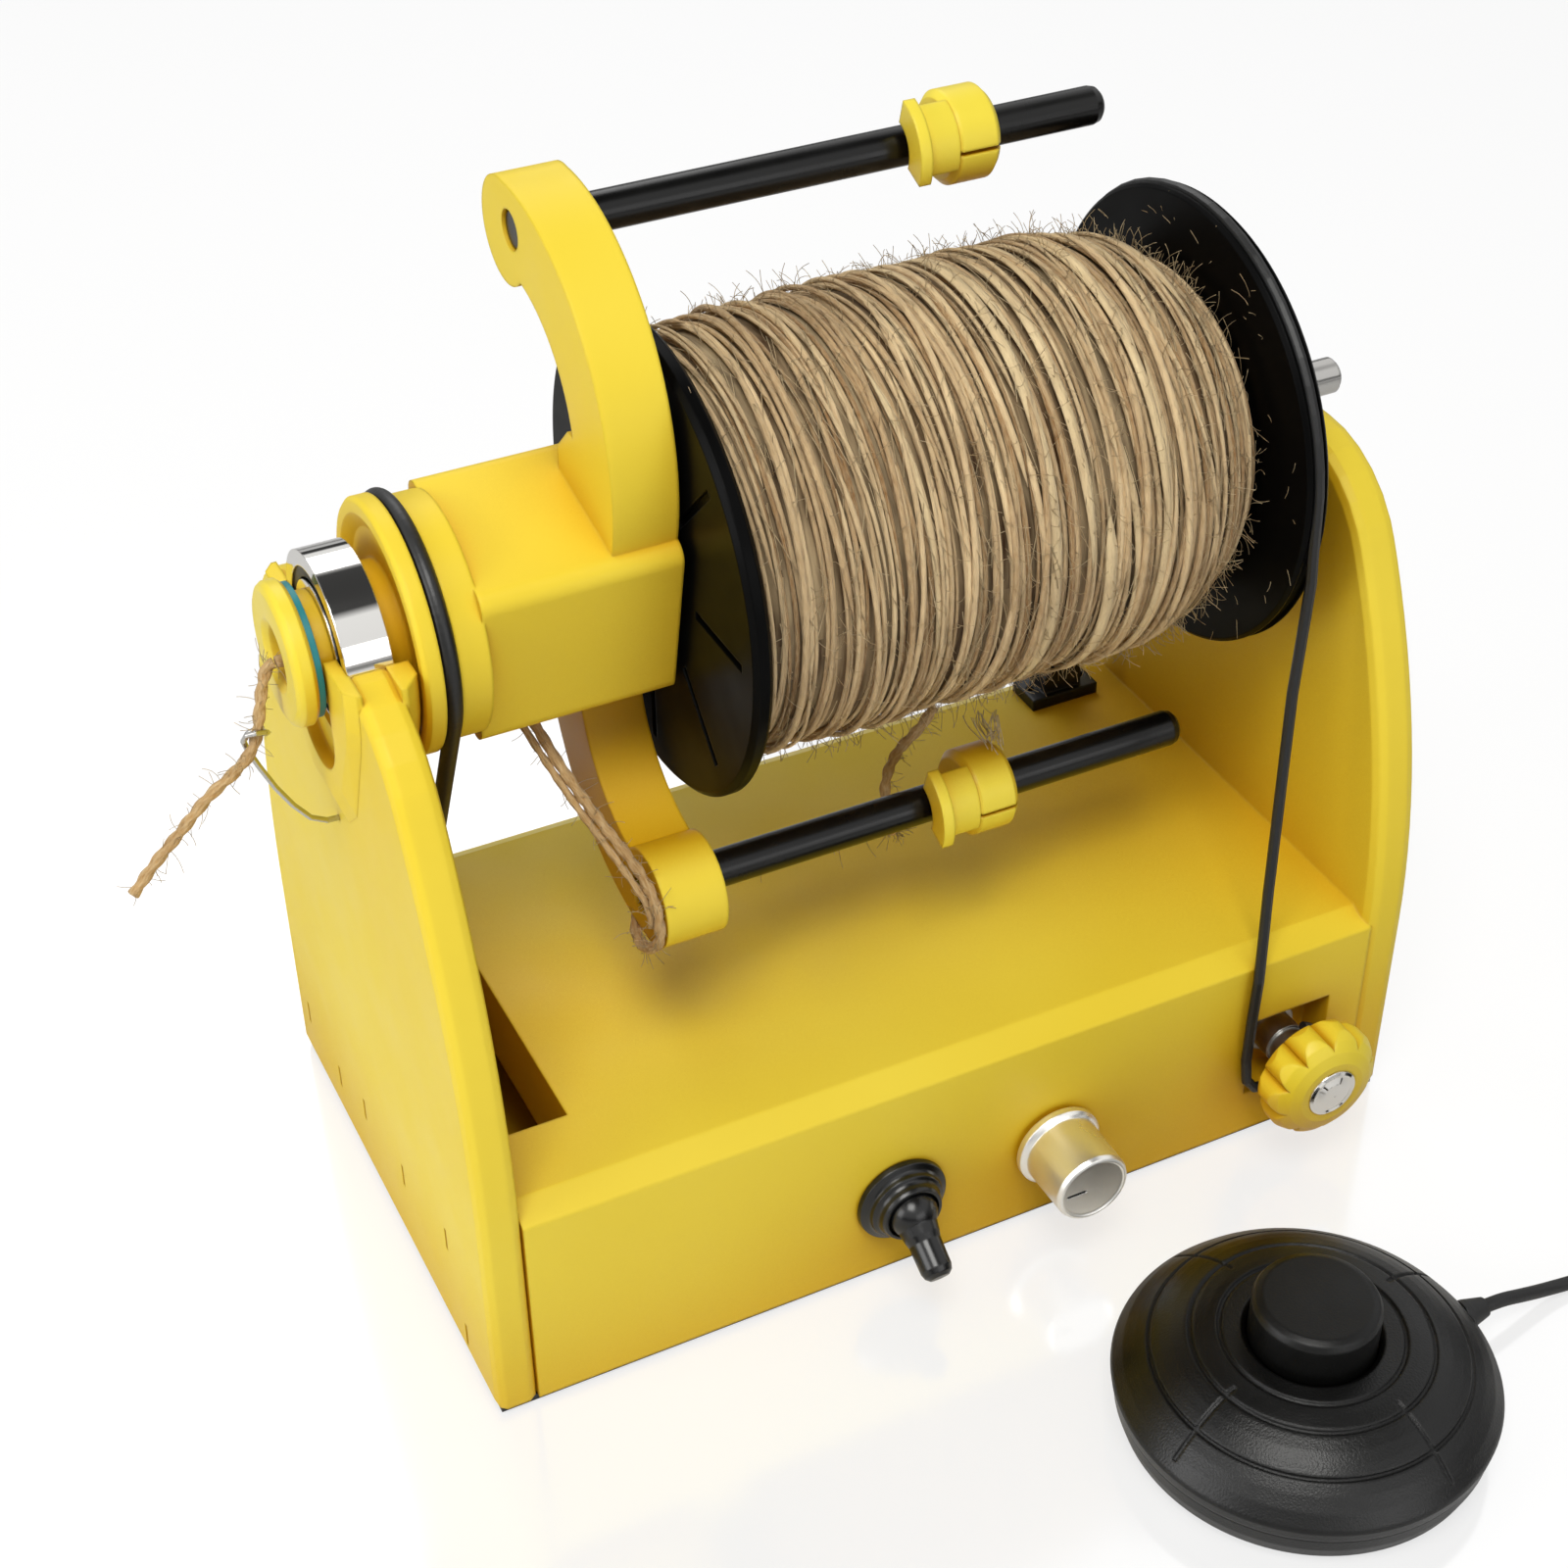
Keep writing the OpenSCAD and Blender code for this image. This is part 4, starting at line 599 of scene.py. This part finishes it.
# from the pedal's gland down to the floor, in millimetres
lead = [
    (74, -136, 8.2), (79, -136, 8.2), (84.5, -136, 8.2), (89, -135.8, 7.5), (94, -135.5, 5.9),
    (99, -135.1, 4.2), (104, -134.8, 2.8), (109, -134.8, 1.9), (114, -135.2, 1.7), (120, -136.2, 1.7),
    (127, -137.8, 1.7), (134, -139.8, 1.7), (141, -142, 1.7), (148, -143.7, 1.7),
]


def coil_place(turn):
    """Distance from the coil's axis and height of a place in the winding, counted in turns."""
    turn = max(0.0, turn)
    whole = min(int(turn), COLUMNS * ROWS - 1)
    shift = min(1.0, max(0.0, (turn - whole - 0.75) / 0.25))
    shift = shift * shift * (3 - 2 * shift)

    def seat(k):
        k = min(k, COLUMNS * ROWS - 1)
        row, col = divmod(k, COLUMNS)
        col = col if row % 2 == 0 else COLUMNS - 1 - col
        return coil_mid + CORD_D * (1 - col), CORD_D * (row + 0.5) + 0.15 * MM

    (r0, z0), (r1, z1) = seat(whole), seat(whole + 1)
    return r0 + (r1 - r0) * shift, z0 + (z1 - z0) * shift


def coil_points():
    """From the lead's last point round and round to the plug."""
    out = []
    per_turn = 28
    lead_in = 0.5
    total = COLUMNS * ROWS - 0.25
    for i in range(int((total + lead_in) * per_turn) + 1):
        turn = i / per_turn - lead_in
        angle = -math.pi / 2 + FULL * (turn + lead_in)
        r, z = coil_place(turn)
        if turn < 0:
            r += CORD_D * 1.02 * (turn / -lead_in) ** 1.5
            z = 1.7 * MM
        out.append((coil_c[0] + r * math.cos(angle), coil_c[1] + r * math.sin(angle), z))
    return out


cord_path = np.vstack([path_mm(lead, 3), np.array(coil_points())])
cord = strands_mesh("pedal_cord_run", [cord_path], [CORD_D / 2], [0.5], 12, RUBBER)
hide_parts("pedal_cord", "pedal_coil")
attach(cord, "frame")


# ---------- floor, light and camera ----------


def stage_floor():
    """White to the camera, with a soft shadow and a faint mirror image of the machine in it."""
    g = Graph("floor")
    g.bsdf.inputs["Base Color"].default_value = (0.8, 0.8, 0.8, 1)
    g.bsdf.inputs["Roughness"].default_value = 0.5
    light_path = g.add("ShaderNodeLightPath")
    glow = g.add("ShaderNodeEmission")
    glow.inputs["Color"].default_value = (1, 1, 1, 1)
    glow.inputs["Strength"].default_value = 0.86
    shade = g.add("ShaderNodeBsdfDiffuse")
    shade.inputs["Color"].default_value = (0.22, 0.22, 0.22, 1)
    mirror = g.add("ShaderNodeBsdfGlossy")
    mirror.inputs["Roughness"].default_value = 0.13
    both = g.add("ShaderNodeAddShader")
    face, pick = g.add("ShaderNodeMixShader"), g.add("ShaderNodeMixShader")
    face.inputs[0].default_value = 0.16
    output = g.tree.nodes["Material Output"]
    g.join(glow.outputs[0], both.inputs[0])
    g.join(shade.outputs[0], both.inputs[1])
    g.join(both.outputs[0], face.inputs[1])
    g.join(mirror.outputs[0], face.inputs[2])
    g.join(light_path.outputs["Is Camera Ray"], pick.inputs[0])
    g.join(g.bsdf.outputs[0], pick.inputs[1])
    g.join(face.outputs[0], pick.inputs[2])
    g.join(pick.outputs[0], output.inputs["Surface"])
    bpy.ops.mesh.primitive_plane_add(size=8, location=(0, 0, -0.0002))
    floor = bpy.context.object
    floor.name = "floor"
    floor.data.materials.append(g.mat)


def area_light(name, place, aim, size, power, colour=(1, 1, 1)):
    light = bpy.data.lights.new(name, "AREA")
    light.shape = "RECTANGLE"
    light.size, light.size_y = size
    light.energy = power
    light.color = colour
    obj = bpy.data.objects.new(name, light)
    bpy.context.scene.collection.objects.link(obj)
    obj.location = place
    obj.rotation_euler = (Vector(aim) - Vector(place)).to_track_quat("-Z", "Y").to_euler()


def sky():
    """White to the camera, and dim banded light elsewhere, which gives the metal its bright and dark bars."""
    world = bpy.data.worlds.new("studio")
    bpy.context.scene.world = world
    world.use_nodes = True
    tree = world.node_tree
    background = tree.nodes["Background"]
    add, join = tree.nodes.new, tree.links.new
    path, where = add("ShaderNodeLightPath"), add("ShaderNodeTexCoord")
    split, ramp = add("ShaderNodeSeparateXYZ"), add("ShaderNodeValToRGB")
    join(where.outputs["Generated"], split.inputs[0])
    join(split.outputs["Z"], ramp.inputs[0])
    stops = ramp.color_ramp.elements
    stops[0].position, stops[0].color = 0.0, (0.5, 0.5, 0.5, 1)
    stops[1].position, stops[1].color = 1.0, (0.05, 0.05, 0.05, 1)
    for place, value in ((0.08, 0.6), (0.12, 0.05), (0.24, 0.05), (0.3, 0.95), (0.8, 1.0), (0.88, 0.06)):
        stop = stops.new(place)
        stop.color = (value, value, value, 1)
    seen = add("ShaderNodeMix")
    seen.data_type = "RGBA"
    join(path.outputs["Is Glossy Ray"], seen.inputs[0])
    seen.inputs[6].default_value = (0.17, 0.17, 0.17, 1)
    join(ramp.outputs["Color"], seen.inputs[7])
    white = add("ShaderNodeMix")
    white.data_type = "RGBA"
    join(path.outputs["Is Camera Ray"], white.inputs[0])
    join(seen.outputs[2], white.inputs[6])
    white.inputs[7].default_value = (1, 1, 1, 1)
    join(white.outputs[2], background.inputs["Color"])
    background.inputs["Strength"].default_value = 1.0


def camera():
    """The photograph's own viewpoint, as fitted to its straight edges."""
    look = Vector((0.34687, 0.71700, -0.60464)).normalized()
    right = look.cross(Vector((0, 0, 1))).normalized()
    up = right.cross(look)
    roll = Matrix.Rotation(math.radians(0.672), 3, look)
    right, up = roll @ right, roll @ up
    cam = bpy.data.cameras.new("camera")
    cam.lens = 60.64
    cam.sensor_width = 36
    obj = bpy.data.objects.new("camera", cam)
    bpy.context.scene.collection.objects.link(obj)
    turned = Matrix((right, up, -look)).transposed().to_4x4()
    obj.matrix_world = Matrix.Translation((-0.2103, -0.4092, 0.4318)) @ turned
    bpy.context.scene.camera = obj


stage_floor()
sky()
area_light("key", (-0.3, -0.5, 1.2), (0, 0, 0.1), (0.6, 0.6), 10.5, (1, 0.99, 0.96))
area_light("left", (-1.2, -0.1, 0.5), (0, 0, 0.1), (0.7, 0.7), 5.6)
area_light("front", (0.3, -1.25, 0.42), (0, 0, 0.1), (0.9, 0.5), 2.4)
area_light("back", (0.1, 0.9, 1.0), (0, 0, 0.15), (0.7, 0.7), 3.0)
camera()
bpy.context.scene.view_settings.view_transform = "Standard"
